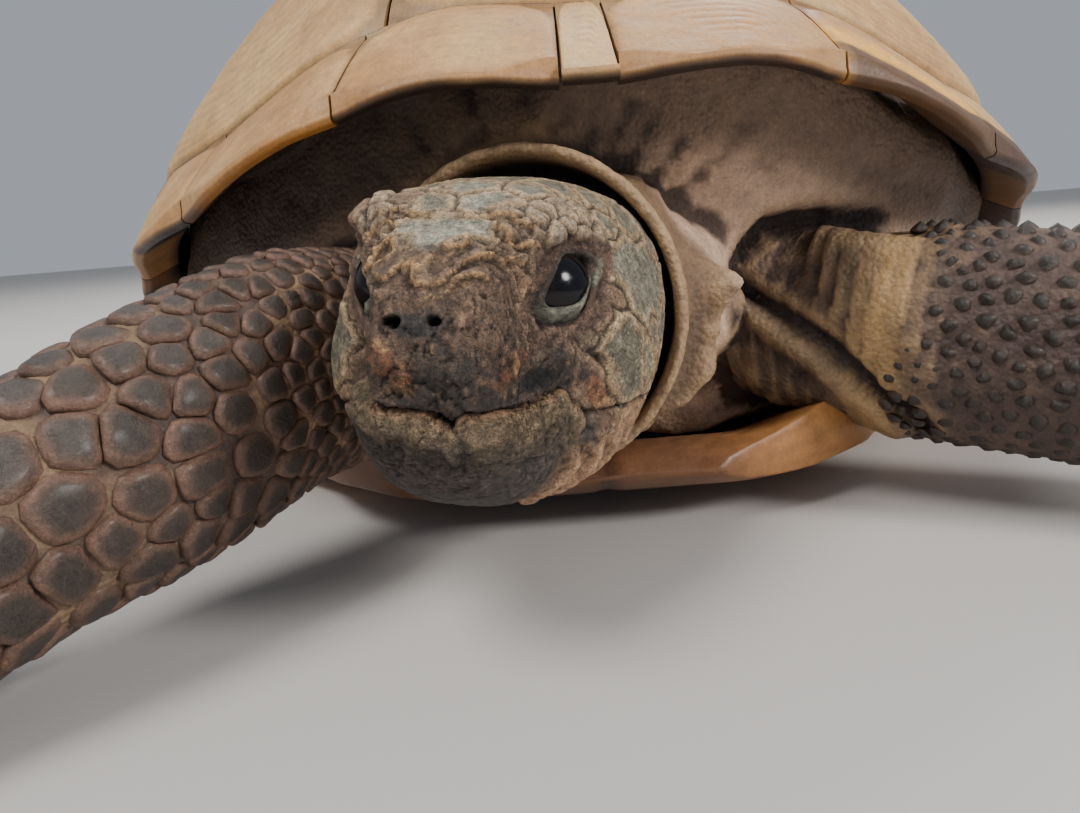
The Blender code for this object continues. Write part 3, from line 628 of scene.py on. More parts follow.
def marginal_rings(u, v):
    return ring_place(u, np.clip(v / LIP, 0, 1), (0.5, 0.92))


def marginal_colour(u, v, angle, spot, seed, ridges):
    m = marginal_rings(u, v)
    colour = painted(STRAW, (TAN, ease(-0.5, 0.6, fractal(spot, 0.02, 3, seed))),
                     (OCHRE, 0.5 * ease(0.0, 0.7, fractal(spot, 0.012, 3, seed + 1))))
    colour = colour * (0.93 + 0.07 * ridges)[:, None]
    smudge = fractal(spot, 0.016, 3, seed + 2) - 0.18
    front = turned(angle) < 50
    smudge = smudge - 0.3 * front + 0.25 * (1 - ease(0.1, 0.5, u)) * ~front
    colour = painted(colour, (SHELL_DARK, 0.85 * ease(0.0, 0.3, smudge)),
                     (SHELL_DARK, 0.45 * ease(0.965, 1.0, m) * (v < 0.49)))
    # The underside of each marginal is painted dark as shade, with ochre patches mixed in.
    under = mixed(UNDER_PAINTED_SHADE, UNDER_OCHRE, ease(0.15, 0.5, fractal(spot, 0.012, 3, seed + 4)))
    second = (turned(angle) > 20) & (turned(angle) < 37)
    band = second * ease(0.47, 0.52, v) * (1 - ease(0.60, 0.66, v)) * (1 - ease(0.72, 0.95, u))
    third = (turned(angle) >= 37) & (turned(angle) < 56)
    patch = third * ease(0.50, 0.60, u) * ease(0.46, 0.52, v) * (1 - ease(0.70, 0.78, v))
    under = painted(under, (tone(186, 124, 52), 0.9 * band), (tone(170, 122, 68), 0.8 * patch))
    colour = painted(colour, (under, ease(LIP, 0.56, v + 0.02 * fractal(spot, 0.006, 2, seed + 6))),
                     (tone(150, 104, 62), 0.55 * hill(LIP, 0.035, v)))
    # On the left the lip and what lies under it are painted dark as shade, from the first notch to the side,
    # and the gold above it is a painted highlight.
    left = (angle > 0) * ease(19, 21, turned(angle)) * (1 - ease(54, 60, turned(angle)))
    colour = mixed(colour, tone(230, 172, 78), 0.9 * left * ease(0.16, 0.30, v) * (turned(angle) < 37))
    wavy = v + 0.02 * fractal(spot, 0.008, 2, seed + 8) + 0.06 * ease(30, 45, turned(angle))
    return mixed(colour, tone(62, 38, 30), 0.92 * left * ease(0.37, 0.42, wavy) * (1 - 0.35 * patch))


def marginal(name, first, last, seed, waves=True):
    """One marginal scute from the angle first to the angle last, as a closed piece."""
    gap = SEAM / 2 / HALF_LENGTH * np.sign(last - first)
    stops = np.linspace(0, 1, 101)
    edge = along(LIP_CURVE, stops)
    found = {}

    def place(u, v):
        angle = first + gap + (last - first - 2 * gap) * u
        out = np.interp(u, stops, edge) if waves else np.full(len(u), 0.008)
        flare = 0.25 + 0.75 * np.cos(angle) ** 2 if waves else 1.0
        points = marginal_loop(angle, out * flare, v)
        m = marginal_rings(u, v)
        ridges = ring_relief(m, 8, 0.3 * fractal(points, 0.012, 2, seed))
        middle = np.array([0, 0, 0.05])
        outward = points - middle
        outward /= np.linalg.norm(outward, axis=1)[:, None]
        face = (v < 0.48) * ease(0.0, 0.04, v)
        lift = face * (0.00008 * ridges - 0.0005 * ease(0.93, 1.0, m))
        lift = lift + 0.00006 * fractal(points, 0.002, 2, seed + 9)
        found["colour"] = marginal_colour(u, v, angle, points, seed, np.where(v < 0.48, ridges, 1.0))
        closed = (v > 1e-6) & (v < 1 - 1e-6)
        return points + outward * (lift * closed)[:, None]

    obj = grid_sheet(name, LOOP_COLUMNS, LOOP_ROWS, place)
    set_tint(obj, found["colour"])
    return shade(close_sheet(obj, 2e-6), SHARP_FROM)


def model_marginals():
    for side, word in ((1, "left"), (-1, "right")):
        for place, first, last in (("front", 1, 3), ("bridge", 4, 7), ("rear", 8, 11)):
            pieces = [marginal(f"marginal_{word}_{n}", side * MARGINAL_SEAMS[n - 1], side * MARGINAL_SEAMS[n],
                               40 + n + 20 * (side > 0)) for n in range(first, last + 1)]
            whole = joined(f"marginal_scutes_{word}_{place}", pieces)
            dress(whole, SCUTE_HORN, "marginal", f"marginals_{word}_{place}")
    front, back = MARGINAL_SEAMS[0], MARGINAL_SEAMS[-1]
    dress(marginal("nuchal_scute", -front, front, 81, False), SCUTE_HORN, "marginal", "nuchal")
    tail_end = marginal("supracaudal_scute", back, 2 * math.pi - back, 82, False)
    dress(tail_end, SCUTE_HORN, "marginal", "supracaudal")


model_marginals()
print("24 scutes round the edge")

# %% [markdown]
# The plastron is the flat underside. Its plates are horn too, tan with black patches. Each is a
# loop across the animal, along its underside and back over its top, carried from its front seam to
# its rear seam.

# %% Model the plastron's plates
PLASTRON_SEAMS = (("gular", -0.0955), ("humeral", -0.0785), ("pectoral", -0.0480), ("abdominal", -0.0340),
                  ("femoral", 0.0330), ("anal", 0.0640), ("end", 0.0890))
BRIDGE_FRONT, BRIDGE_BACK, PLASTRON_THICKNESS = -0.044, 0.040, 0.0042
PLASTRON_TAN, PLASTRON_BLACK = tone(206, 148, 88), tone(26, 21, 18)
LOBE_WIDTHS = ((-0.0955, 0.015), (-0.089, 0.030), (-0.080, 0.0410), (-0.068, 0.0455), (-0.055, 0.0465),
               (0.048, 0.0450), (0.070, 0.0390), (0.083, 0.0280), (0.0890, 0.0190))
SEAM_DEPTH, ROUND_FROM, PLATE_ROWS, PLATE_STEP = 0.0004, 0.95, 161, 0.0012


def bridge_share(y):
    front = ease(BRIDGE_FRONT - 0.030, BRIDGE_FRONT + 0.008, y)
    return front * (1 - ease(BRIDGE_BACK - 0.006, BRIDGE_BACK + 0.024, y))


def plastron_half_width(y):
    lobe = along(LOBE_WIDTHS, y)
    bridge = 0.985 * plan_point(np.arctan2(1.0, -y / HALF_LENGTH), 1.0)[0]
    return lobe + (bridge - lobe) * bridge_share(y)


def plastron_height(x, y):
    ends = 0.0050 * (ease(0.060, 0.094, -y) + 0.5 * ease(0.055, 0.089, y))
    lobe_edge = 0.0030 * ease(0.016, 0.042, abs(x)) * ease(0.045, 0.072, abs(y))
    bridge_top = rim_height(np.pi / 2 + y / HALF_LENGTH) - PLASTRON_THICKNESS - 0.0014
    return ends + lobe_edge + bridge_top * ease(0.046, 0.077, abs(x)) * bridge_share(y)


def plastron_thickness(x, y):
    lip = ease(0.060, 0.094, -y) + 0.9 * ease(0.018, 0.036, abs(x)) * ease(0.050, 0.072, -y)
    return PLASTRON_THICKNESS + 0.0026 * lip


def plastron_plate(name, front, back, seed, number):
    found = {}

    def place(u, v):
        y = front + SEAM / 2 + (back - front - SEAM) * u
        half = plastron_half_width(y)
        over = v > 0.5
        across = np.where(over, 3 - 4 * v, 4 * v - 1)
        across = np.sign(across) * (1 - (1 - abs(across)) ** 1.3)
        x = half * across
        back_y = y - 0.010 * ease(0.070, 0.089, y) * (1 - np.minimum(1, abs(x) / 0.014))
        z = plastron_height(x, y)
        thick = plastron_thickness(x, y)
        flat = np.column_stack([x, y, np.full(len(u), 0.01 * seed)])
        side = np.where(abs(across) > ROUND_FROM, (abs(across) - ROUND_FROM) / 0.05, 0)
        rounding = 0.42 * thick * side**2
        at_seam = 2 * u - 1 if number == 0 else abs(2 * u - 1)
        seam_dip = SEAM_DEPTH * (ease(0.94, 1.0, at_seam) + hill(0, 0.0012, x))
        level = np.where(over, z + thick - rounding - seam_dip, z + rounding + seam_dip * (z > SEAM_DEPTH))
        rings = ring_relief(ring_place(u, np.clip(abs(x) / half, 0.001, 0.999), (0.5, 0.92)), 7,
                            0.3 * fractal(flat, 0.012, 2, seed))
        level = level + np.where(over, 0.00012 * rings, 0.0)
        nose = 0.9 * np.clip(1 - u / 0.45, 0, 1) ** 2.2 if number == 0 else 0.0
        level = level * (1 - nose) + (z + 0.55 * thick) * nose
        # Both edges of the sheet end at one height, where they are merged.
        level = np.where(abs(across) > 1 - 1e-9, z + 0.5 * thick, level)
        colour = mixed(PLASTRON_TAN, tone(150, 98, 52), ease(-0.3, 0.7, fractal(flat, 0.02, 3, seed + 1)))
        colour = colour * (0.8 + 0.2 * rings)[:, None]
        soft = 0.45 if back < -0.03 else 0.16
        spot = 1.15 - abs(abs(x) / half - 0.55) * 2.1 - abs(2 * u - 1.1) * 0.55
        spot = spot + 0.55 * fractal(flat, 0.02, 4, seed + 2) - 0.45
        patch = ease(0.46 - soft, 0.46 + soft, spot)
        patch = np.where(over & (back < -0.03), 0.2, 0.95) * patch * (ease(0.1, 0.6, u) if number == 0 else 1)
        # Under the head the front lobe gets a painted shadow.
        head_shadow = (1 - ease(0.008, 0.028, x)) * (1 - ease(-0.085, -0.065, y))
        found["colour"] = painted(colour, (PLASTRON_BLACK, patch), (tone(92, 62, 50), 0.75 * head_shadow),
                                  (PLASTRON_BLACK, 0.6 * np.clip(seam_dip / SEAM_DEPTH, 0, 1)))
        return np.column_stack([x, back_y, level])

    columns = max(14, int((back - front) / PLATE_STEP))
    obj = grid_sheet(f"plate_{name}", columns, PLATE_ROWS, place)
    set_tint(obj, found["colour"])
    shade(close_sheet(obj, 2e-6), SHARP_FROM)
    return dress(obj, PLASTRON_HORN, "plastron", f"plastron_{name}")


for number, ((plate, plate_front), (_, plate_back)) in enumerate(zip(PLASTRON_SEAMS, PLASTRON_SEAMS[1:])):
    plastron_plate(plate, plate_front, plate_back, 90 + number, number)
print("6 rows of plates under the body")

# %% [markdown]
# The head is turned and tilted, so it is modelled in its own frame, in millimetres. Height 0 is the
# mouth line and -y is ahead. A section across it is a squarish oval whose width, top and bottom
# change along the head. Legs and tail are tubes through stations along them.

# %% The shapes of the head and the limbs
HEAD_SCALE, HEAD_SQUARENESS, HEAD_BACK, HEAD_LENGTH = 1.025, 2.7, 13.7, 36.2
HEAD_PLACE = (Matrix.Translation((-0.0121, -0.1085, 0.0263)) @ Matrix.Rotation(math.radians(-14.6), 4, "Z")
              @ Matrix.Rotation(math.radians(-1), 4, "X") @ Matrix.Rotation(math.radians(5), 4, "Y")
              @ Matrix.Scale(HEAD_SCALE, 4))
HEAD_TURN = np.array(HEAD_PLACE)[:3, :3] * MM
HEAD_ORIGIN = np.array(HEAD_PLACE)[:3, 3]
HEAD_SECTIONS = np.array((  # y, half width, top, bottom, how much narrower the top is than the middle
    (HEAD_BACK, 0.4, 5.2, 4.4, 0.00), (13.5, 9.0, 13.2, -4.4, 0.00), (13.0, 13.6, 17.0, -7.8, 0.00),
    (11.2, 15.4, 18.2, -9.0, 0.01), (8, 16.0, 19.0, -9.6, 0.02), (2, 15.9, 19.2, -10.6, 0.06),
    (-3, 15.4, 18.8, -11.2, 0.11), (-7, 13.9, 18.2, -11.4, 0.10), (-10, 11.6, 17.3, -11.0, 0.02),
    (-13, 9.7, 15.8, -10.0, 0.01), (-16, 8.4, 14.2, -8.2, 0.02), (-18.8, 7.3, 12.6, -5.2, 0.0),
    (-20.6, 6.1, 11.4, -1.8, 0.0), (-21.8, 4.1, 9.9, 3.2, 0.0), (-22.3, 2.6, 8.6, 4.6, 0.0),
    (-22.5, 0.3, 6.9, 6.3, 0.0)))


def from_head(points):
    return points @ HEAD_TURN.T + HEAD_ORIGIN


def to_head(points):
    return (points - HEAD_ORIGIN) @ np.linalg.inv(HEAD_TURN).T


def head_surface(y, turn, out=0.0):
    """Points of the head at y and this turn round it, moved out a little, in millimetres."""
    half, top, bottom, narrow = columns_along(HEAD_SECTIONS[::-1], y)
    c, s = np.cos(turn), np.sin(turn)
    across = half * (1 - narrow * ease(-0.1, 0.45, s)) + out
    power = 2 / HEAD_SQUARENESS
    x = np.sign(c) * abs(c) ** power * across
    z = (top + bottom) / 2 + np.sign(s) * abs(s) ** power * ((top - bottom) / 2 + out)
    return np.column_stack([x, y, z])


LEG_STATIONS = {  # x, y, z, half width, half height, in millimetres
    "foreleg_right": (
        (-12, -64, 27, 10, 11), (-23, -79, 26.5, 10, 12.4), (-31.5, -91, 26.5, 10, 13.6),
        (-37.5, -100, 26.5, 10, 13.8), (-43.5, -107, 24, 10.6, 13.6), (-50, -114, 20.9, 10.6, 13.0),
        (-57, -121, 18.0, 10.2, 11.6), (-64, -127.5, 13.9, 10.2, 10.1), (-71, -133, 9.2, 10.6, 8.4),
        (-76.5, -137, 6.2, 10.8, 6.2), (-81, -140.5, 4.8, 9.5, 4.8)),
    "foreleg_left": (
        (14, -60, 26, 10, 10.5), (24, -73, 25.5, 11, 12), (33, -82, 24.6, 11, 13.2),
        (42.5, -89, 23.2, 11, 14.2), (52, -94.5, 22, 11, 14.2), (62, -100, 20, 10.5, 13.8),
        (71.5, -104.5, 16.6, 10.5, 12.6), (80, -108.5, 12.4, 10.5, 11), (88, -112, 8.6, 11, 8.4),
        (94.5, -115, 6, 11, 6), (99.5, -117, 4.7, 9.5, 4.7)),
    "hindleg_left": (
        (16, 56, 17.5, 11, 8), (29, 69, 16.5, 13, 9.5), (41, 80, 15, 14, 10), (50, 87.5, 13, 13.5, 9.8),
        (58, 93.5, 10.5, 13, 9), (65, 98.5, 8, 12.5, 7.6), (71, 103, 5.5, 11, 5.4)),
    "tail": (
        (0, 70, 18.5, 9, 7), (1, 81, 17.5, 8, 6.6), (2.5, 90, 15.8, 7, 5.8), (5, 98, 12, 5.5, 5.2),
        (8, 105, 7.5, 4.2, 4.2), (11, 111, 3.8, 2.8, 2.8)),
}
LEG_STATIONS["hindleg_right"] = tuple((-s[0], *s[1:]) for s in LEG_STATIONS["hindleg_left"])


def limb_point(name, s, turn, out=0.0):
    """Points of a limb at the share s of the way along it, and this turn round it from its front
    side over the top, moved out a little. Nothing goes below the floor. In metres."""
    rows = np.array(LEG_STATIONS[name], float) * MM
    centres = rows[:, :3]
    ahead = np.gradient(centres, axis=0)
    ahead /= np.linalg.norm(ahead, axis=1)[:, None]
    spots = np.arange(len(rows))
    place = np.clip(s, 0, 1) * (len(rows) - 1)

    def smooth(values):
        low = np.clip(np.floor(place).astype(int), 0, len(rows) - 2)
        t = place - low
        before, after = values[np.maximum(low - 1, 0)], values[np.minimum(low + 2, len(rows) - 1)]
        a, b = values[low], values[low + 1]
        curve = 2 * before - 5 * a + 4 * b - after + t * (3 * (a - b) + after - before)
        return a + 0.5 * t * (b - before + t * curve)

    centre = np.column_stack([smooth(centres[:, k]) for k in range(3)])
    forward = np.column_stack([np.interp(place, spots, ahead[:, k]) for k in range(3)])
    across = np.cross(forward, [0, 0, 1.0])
    across /= np.linalg.norm(across, axis=1)[:, None]
    up = np.cross(across, forward)
    up /= np.linalg.norm(up, axis=1)[:, None]
    past = np.clip(np.asarray(s) - 1, 0, None)[:, None] * forward * 0.012
    wide, tall = smooth(rows[:, 3]) + out, smooth(rows[:, 4]) + out
    point = centre + past + across * (wide * np.cos(turn))[:, None] + up * (tall * np.sin(turn))[:, None]
    point[:, 2] = np.maximum(point[:, 2], 0.0)
    return point


print("head from", np.round(from_head(np.array([[0, -22.5, 6.6]]))[0], 4), "limbs:", ", ".join(LEG_STATIONS))

# %% [markdown]
# One skin covers everything between the plates: neck, legs, tail and the walls of the openings. It
# is put together from simple closed shapes that overlap, and a voxel remesh melts them into one
# surface with no seam. Round the head the skin is a rolled collar, because the neck is drawn back
# and its skin folds over. So the neck is a tube that turns back into itself at its front edge.

# %% Build the closed shapes that the skin is melted from


def tube(name, rings, around, points):
    """A closed tube whose points come from points(u, turn), u along it from 0 to 1."""
    obj = grid_sheet(name, rings, around + 1, lambda u, v: points(u, 2 * math.pi * v))
    return close_sheet(obj, 1e-7)


COLLAR_UP = 4.4  # the height of the collar's middle over the mouth line, in mm
# How far along, then y, half width, half height, sideways shift and height shift, in the head's frame.
NECK_RINGS = np.array((
    (0.00, 44, 20, 14.5, 6, 3.5), (0.12, 34, 20, 15, 4.5, 4.2), (0.26, 25, 19.5, 16, 2.5, 4.8),
    (0.40, 18, 18.8, 17.4, 0.8, 4.8), (0.54, 12.4, 18.0, 18.0, 0, COLLAR_UP),
    (0.60, 10.6, 18.5, 18.8, 0, COLLAR_UP), (0.64, 9.6, 18.9, 19.2, 0, COLLAR_UP),
    (0.68, 8.7, 18.6, 18.9, 0, COLLAR_UP), (0.72, 8.5, 18.0, 18.3, 0, COLLAR_UP),
    (0.76, 9.0, 17.4, 17.7, 0, COLLAR_UP), (0.80, 10.0, 17.1, 17.4, 0, COLLAR_UP),
    (0.90, 13.5, 16.8, 17.0, 0, COLLAR_UP), (1.00, 16.0, 15.5, 15.5, 0, COLLAR_UP)))


def turn_from_left(turn):
    """A turn round the head as an angle from -pi to pi, 0 at its left side, over 0 above."""
    return (turn + math.pi) % (2 * math.pi) - math.pi


def neck_points(u, turn):
    y, wide, tall, shift, lift = columns_along(NECK_RINGS, u)
    wander = 0.35 * np.sin(3 * turn + 1.0) + 0.25 * np.sin(5 * turn)
    lip = hill(0.67, 0.16, u)
    outer = 1 - ease(0.58, 0.70, u)
    # The second fold stands behind the collar on the left and below.
    from_left = turn_from_left(turn)
    side = ease(-1.7, -0.7, from_left) * (1 - ease(0.16, 0.40, from_left))
    ragged = 0.5 * np.sin(23 * from_left + 9 * u) + 0.4 * np.sin(41 * from_left)
    fold = 2.4 + 1.7 * hill(0.20, 0.16, from_left) + ragged * 0.7
    fold = fold * hill(0.385, 0.042, u) * side * outer
    small = 0.7 * outer * np.sin(9 * turn + 14 * u) * hill(0.3, 0.2, u)
    x = shift + (wide + fold + small) * np.cos(turn)
    z = lift + (tall + 0.8 * fold + small) * np.sin(turn)
    return from_head(np.column_stack([x, y + wander * lip - 0.65 * fold * side, z]))


def trunk_copy():
    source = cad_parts["trunk"]
    select_only(source)
    bpy.ops.object.duplicate()
    obj = bpy.context.object
    obj.name = "flesh_trunk"
    points = points_of(obj)
    points[:, 0] *= 1 + 0.035 * ease(0.045, 0.06, abs(points[:, 0])) * (1 - ease(-0.06, -0.03, points[:, 1]))
    set_points(obj, points)
    return obj


def head_core(u, turn):
    """The flesh of the head, which stays under its horny face."""
    return from_head(head_surface(HEAD_BACK - 32.0 * u, turn, -3.3 - 2.6 * ease(0.35, 0.6, u)))


flesh = [trunk_copy(), tube("flesh_neck", 120, 144, neck_points), tube("flesh_head", 60, 72, head_core)]
for limb in LEG_STATIONS:
    flesh.append(tube(f"flesh_{limb}", 70, 48, lambda u, t: limb_point(limb, u * 1.06, t, -0.0003)))
skin = joined("skin", flesh)
print("the skin starts from", len(flesh), "closed shapes")

# %% [markdown]
# The remesh makes one closed surface of small even faces. What the shell hides needs few of them, so
# a Decimate modifier thins it there, and leaves the openings, the neck and the legs as they are.

# %% Melt the shapes into one skin and thin what is hidden
SKIN_VOXEL, FACE_VOXEL, SKIN_KEPT, ROOF_GAP = 0.0008, 0.00027, 0.44, 0.004


def melted(obj, voxel, evened):
    """The piece as one surface of faces of this size, evened this many times."""
    select_only(obj)
    obj.data.remesh_voxel_size = voxel
    bpy.ops.object.voxel_remesh()
    set_points(obj, neighbour_mean(obj, points_of(obj), evened))


melted(skin, SKIN_VOXEL, 6)
place = points_of(skin)
in_shell = np.sqrt((place[:, 0] / 0.072) ** 2 + ((place[:, 1] - 0.004) / 0.088) ** 2) < 0.93
low_mouths = (place[:, 1] < -0.045) & (place[:, 2] < 0.062) | (place[:, 1] > 0.050) & (place[:, 2] < 0.036)
on_feet = (place[:, 1] > 0.050) | (place[:, 0] < -0.045) & (place[:, 1] < -0.1) | (place[:, 0] > 0.07)
hidden = skin.vertex_groups.new(name="hidden")
hidden.add(np.flatnonzero(on_feet).tolist(), 0.35, "REPLACE")
hidden.add(np.flatnonzero(in_shell & ~low_mouths).tolist(), 1.0, "REPLACE")
thin = skin.modifiers.new("thin", "DECIMATE")
thin.vertex_group = "hidden"
thin.ratio = SKIN_KEPT
finish_modifiers(skin)
skin.vertex_groups.clear()
place = points_of(skin)
roof = dome_height(place[:, 0], place[:, 1]) - ROOF_GAP
under_dome = gauge_of(place[:, 0], place[:, 1])[1] < 0.85
place[:, 2] = np.where(under_dome, np.minimum(place[:, 2], roof), place[:, 2])
set_points(skin, place)
print("skin:", len(skin.data.polygons), "faces")

# %% [markdown]
# Skin that is pulled in and pushed out all its life lies in folds. In the openings they run out from
# the neck, on the bare part of the left foreleg they run across it, two deep creases mark its root,
# and small grains cover all of it. Each is a height along the skin's normal, full where its mask is 1.

# %% Fold the skin
SKIN_PAINTED_SHADE, SKIN_MAUVE, SKIN_TAN = tone(50, 36, 32), tone(128, 102, 86), tone(168, 138, 100)
COLLAR, COLLAR_HIGHLIGHT, LEG_BETWEEN = tone(134, 106, 80), tone(172, 142, 108), tone(78, 61, 55)
STRIP_TAN, WALL_PAINTED_LIGHT, RIM_PAINTED_SHADE = tone(196, 156, 100), tone(222, 186, 158), tone(38, 27, 25)
LINE_STOPS = 61  # places on a limb's middle line
# Two deep creases at the root of the left foreleg, as (x, z) in mm.
LEG_CREASES = (((18, 33), (20.9, 30.3), (27.5, 24.1), (35.1, 15.7), (42, 10.5)),
               ((18, 32), (20.3, 35.2), (23.6, 38.1), (28.4, 39.2), (35.9, 38.4), (46, 37.2)))


def limb_near(name, points):
    """(share along, distance in mm) of the nearest place on a limb's middle line."""
    s = np.linspace(0, 1, LINE_STOPS)
    line = (limb_point(name, s, 0 * s) + limb_point(name, s, 0 * s + math.pi)) / 2
    nearest, how_far = np.zeros(len(points)), np.full(len(points), 1e9)
    for k in range(LINE_STOPS):
        gap = ((points - line[k]) ** 2).sum(1)
        closer = gap < how_far
        nearest[closer], how_far[closer] = s[k], gap[closer]
    return nearest, np.sqrt(how_far) / MM


here, out = points_of(skin), normals_of(skin)
local = to_head(here)
around = np.arctan2(local[:, 2] - COLLAR_UP, local[:, 0])
rho = np.hypot(local[:, 0], local[:, 2] - COLLAR_UP)
collar = (1 - ease(21.0, 24.0, rho)) * (1 - ease(17.0, 22.0, local[:, 1]))
left_s, left_d = limb_near("foreleg_left", here)
right_s, right_d = limb_near("foreleg_right", here)
on_left = (1 - ease(13.5, 17.0, left_d)) * (1 - collar)
on_right = (1 - ease(13.5, 17.0, right_d)) * (1 - collar)
wall = (here[:, 1] < -0.045) * (1 - collar) * (1 - on_left * ease(0.2, 0.35, left_s))
wall = wall * (1 - on_right * ease(0.2, 0.35, right_s))

flow = np.column_stack([around * 18, rho * 0.22, local[:, 1] * 0.25])
radial = ridged(flow, 7.0, 3, 5)
mm = here / MM
across = np.column_stack([left_s * 95 + mm[:, 2] * 0.45, mm[:, 2] * 0.12, mm[:, 1] * 0.08])
bands = ridged(across, 8.5, 2, 9)
bare = on_left * ease(0.06, 0.16, left_s) * (1 - ease(0.29, 0.35, left_s))
grains = fractal(mm, 1.5, 2, 21)
lift = wall * (0.9 * (radial - 0.5)) + bare * 1.5 * (bands - 0.5)
creases = np.zeros(len(mm))
for line in LEG_CREASES:
    near = np.interp(mm[:, 0], *zip(*line)) + 0.7 * fractal(mm, 6.0, 2, 51)
    in_reach = ease(17.5, 21, mm[:, 0]) * (1 - ease(38, 44, mm[:, 0])) * (mm[:, 1] < -72) * (1 - collar)
    creases = np.maximum(creases, in_reach * hill(near, 1.4, mm[:, 2]))
    lift = lift + in_reach * (0.9 * hill(near - 3.2, 1.8, mm[:, 2]) - 2.4 * hill(near, 1.3, mm[:, 2]))
lift = lift + 0.08 * grains * (1 - 0.8 * collar) + 0.25 * fractal(mm, 5.0, 2, 22) * (1 - collar)
lift = lift + collar * ease(19.5, 21.5, rho) * 0.7 * (ridged(mm, 6.0, 3, 44) - 0.5)
lift = lift + collar * 0.10 * fractal(np.column_stack([around * 18, local[:, 1] * 2.5, rho]), 2.2, 3, 4)
lift = lift * ease(0.0, 2.0, mm[:, 2])
moved = here + out * (lift * MM)[:, None]
moved[:, 2] = np.maximum(moved[:, 2], 0)
set_points(skin, moved)
print("folds up to", round(float(lift.max()), 2), "mm high and", round(float(-lift.min()), 2), "mm deep")

# %% [markdown]
# The skin's colour follows the same masks: mauve in the walls, greyish brown on the bare leg, tan on the
# collar. Every hollow gets painted shade, and what stands out is painted paler as a highlight. The inside of
# the collar, the creases and the skin under the rim get painted shade too, while the collar's edge and the
# wall towards the left get painted light.

# %% Colour the skin
deep = np.clip(hollows(skin, 12), -0.4, 0.4)
colour = mixed(SKIN_MAUVE, SKIN_TAN, 0.35 * ease(-0.4, 0.6, fractal(mm, 16, 3, 31)))
colour = mixed(colour, SKIN_TAN * 0.85, bare * (0.1 + 0.3 * ease(-0.3, 0.4, fractal(mm, 8, 3, 35))))
colour = colour * (1 - 0.58 * bare)[:, None]
lit_wall_share = ease(-0.03, 0.022, here[:, 0]) * (1 - 0.8 * ease(0.045, 0.062, here[:, 0]))
covered = np.maximum(on_right * ease(0.2, 0.3, right_s), on_left * ease(0.28, 0.34, left_s))
rear = ease(0.045, 0.06, here[:, 1])
edge = collar * hill(9.0, 1.6, local[:, 1]) * hill(18.2, 1.2, rho)
inside = collar * (1 - ease(16.4, 17.6, rho)) * ease(9.0, 11.5, local[:, 1])
colour = painted(
    colour,
    (STRIP_TAN, 0.6 * bare * hill(0.272, 0.022, left_s + 0.01 * fractal(mm, 5, 2, 36))),
    # The wall towards the animal's left is painted lighter, as painted light.
    (WALL_PAINTED_LIGHT, 0.85 * wall * (1 - bare) * lit_wall_share),
    (LEG_BETWEEN, np.maximum(covered, rear * 0.8)),
    (COLLAR, 0.9 * collar),
    # The collar's edge, and its outer rim on the left, get a painted highlight.
    (COLLAR_HIGHLIGHT, 0.5 * collar * ease(20.0, 22.0, rho) * (local[:, 0] > 0)),
    (COLLAR_HIGHLIGHT, 0.7 * edge),
    # Painted shade inside the collar's fold and in every hollow, and a painted highlight on what stands out.
    (SKIN_PAINTED_SHADE * 0.5, np.clip(inside * 1.3, 0, 1)),
    (SKIN_PAINTED_SHADE, ease(0.01, 0.18, deep) * 0.9 * (1 - 0.5 * collar)),
    (SKIN_TAN * 1.1, ease(0.03, 0.25, -deep) * 0.4))
colour = colour * (1 + 0.22 * fractal(mm, 2.6, 3, 33))[:, None]
angle = gauge_of(here[:, 0], here[:, 1])[0]
# Under the shell's rim, and in the two creases at the leg's root, the skin gets painted shade.
near_rim = ease(-0.011, -0.004, here[:, 2] - rim_height(angle)) * (here[:, 1] < -0.04) * (1 - collar)
set_tint(skin, painted(colour, (SKIN_PAINTED_SHADE * 0.8, 0.9 * creases), (RIM_PAINTED_SHADE, 0.7 * near_rim)))
shade(skin)
dress(skin, BARE_SKIN, "skin", "trunk", "neck", "head", "lower_jaw", "foreleg_left", "foreleg_right",
      "hindleg_left", "hindleg_right", "tail")
print("one skin,", sum(len(p.vertices) - 2 for p in skin.data.polygons), "triangles")

# %% [markdown]
# The legs are armoured with scales, each a small horny plate that overlaps the next. They are big
# and many-sided towards the wrist, small near the elbow, and pointed knobs where the skin is soft.
# Their roots are tried at random places of a limb, and one is kept if those before it leave it room.

# %% Spread the roots of the scales over a limb
ROOT_TRIES = 14000


def scatter(name, size_of, seed):
    """Roots of scales on a limb, (share, turn, radius in mm), none nearer than their radii allow."""
    random = np.random.default_rng(seed)
    s, turn = random.random(ROOT_TRIES), random.random(ROOT_TRIES) * 2 * math.pi
    radius = size_of(s, turn) * random.uniform(0.88, 1.12, ROOT_TRIES)
    spot = limb_point(name, s, turn, 0.0003) / MM
    fits = (radius > 0) & (spot[:, 2] > 1.2)
    s, turn, radius, spot = s[fits], turn[fits], radius[fits], spot[fits]
    kept = []
    for i in range(len(s)):
        if kept:
            gap = np.linalg.norm(spot[kept] - spot[i], axis=1)
            if (gap < 0.80 * (radius[kept] + radius[i])).any():
                continue
        kept.append(i)
    return s[kept], turn[kept], radius[kept]


print("roots are tried at", ROOT_TRIES, "places of each limb")

# %% [markdown]
# Each scale is its own little solid, made of rings of points. Its outline comes from how near its
# neighbours are, its shape follows the limb, and its edge nearest the foot stands highest. One coat
# piece holds all the scales of a limb.

# %% Build the scales of a limb as one piece
SPOKES, SCALE_PATCH = 16, 0.0014
SCALE_RINGS = (  # how far out, height if domed, height if pointed, share of the rim's colour
    (0.0, 1.0, 1.0, 0.0), (0.55, 0.95, 0.45, 0.12), (0.80, 0.72, 0.12, 0.75), (0.96, 0.30, -0.1, 0.95),
    (1.04, -0.9, -0.6, 1.0))
SCALE_CENTRE, SCALE_PAINTED_SHEEN = tone(54, 45, 39), tone(86, 80, 74)
SCALE_RIM, SCALE_GAP = tone(116, 87, 71), tone(36, 25, 21)


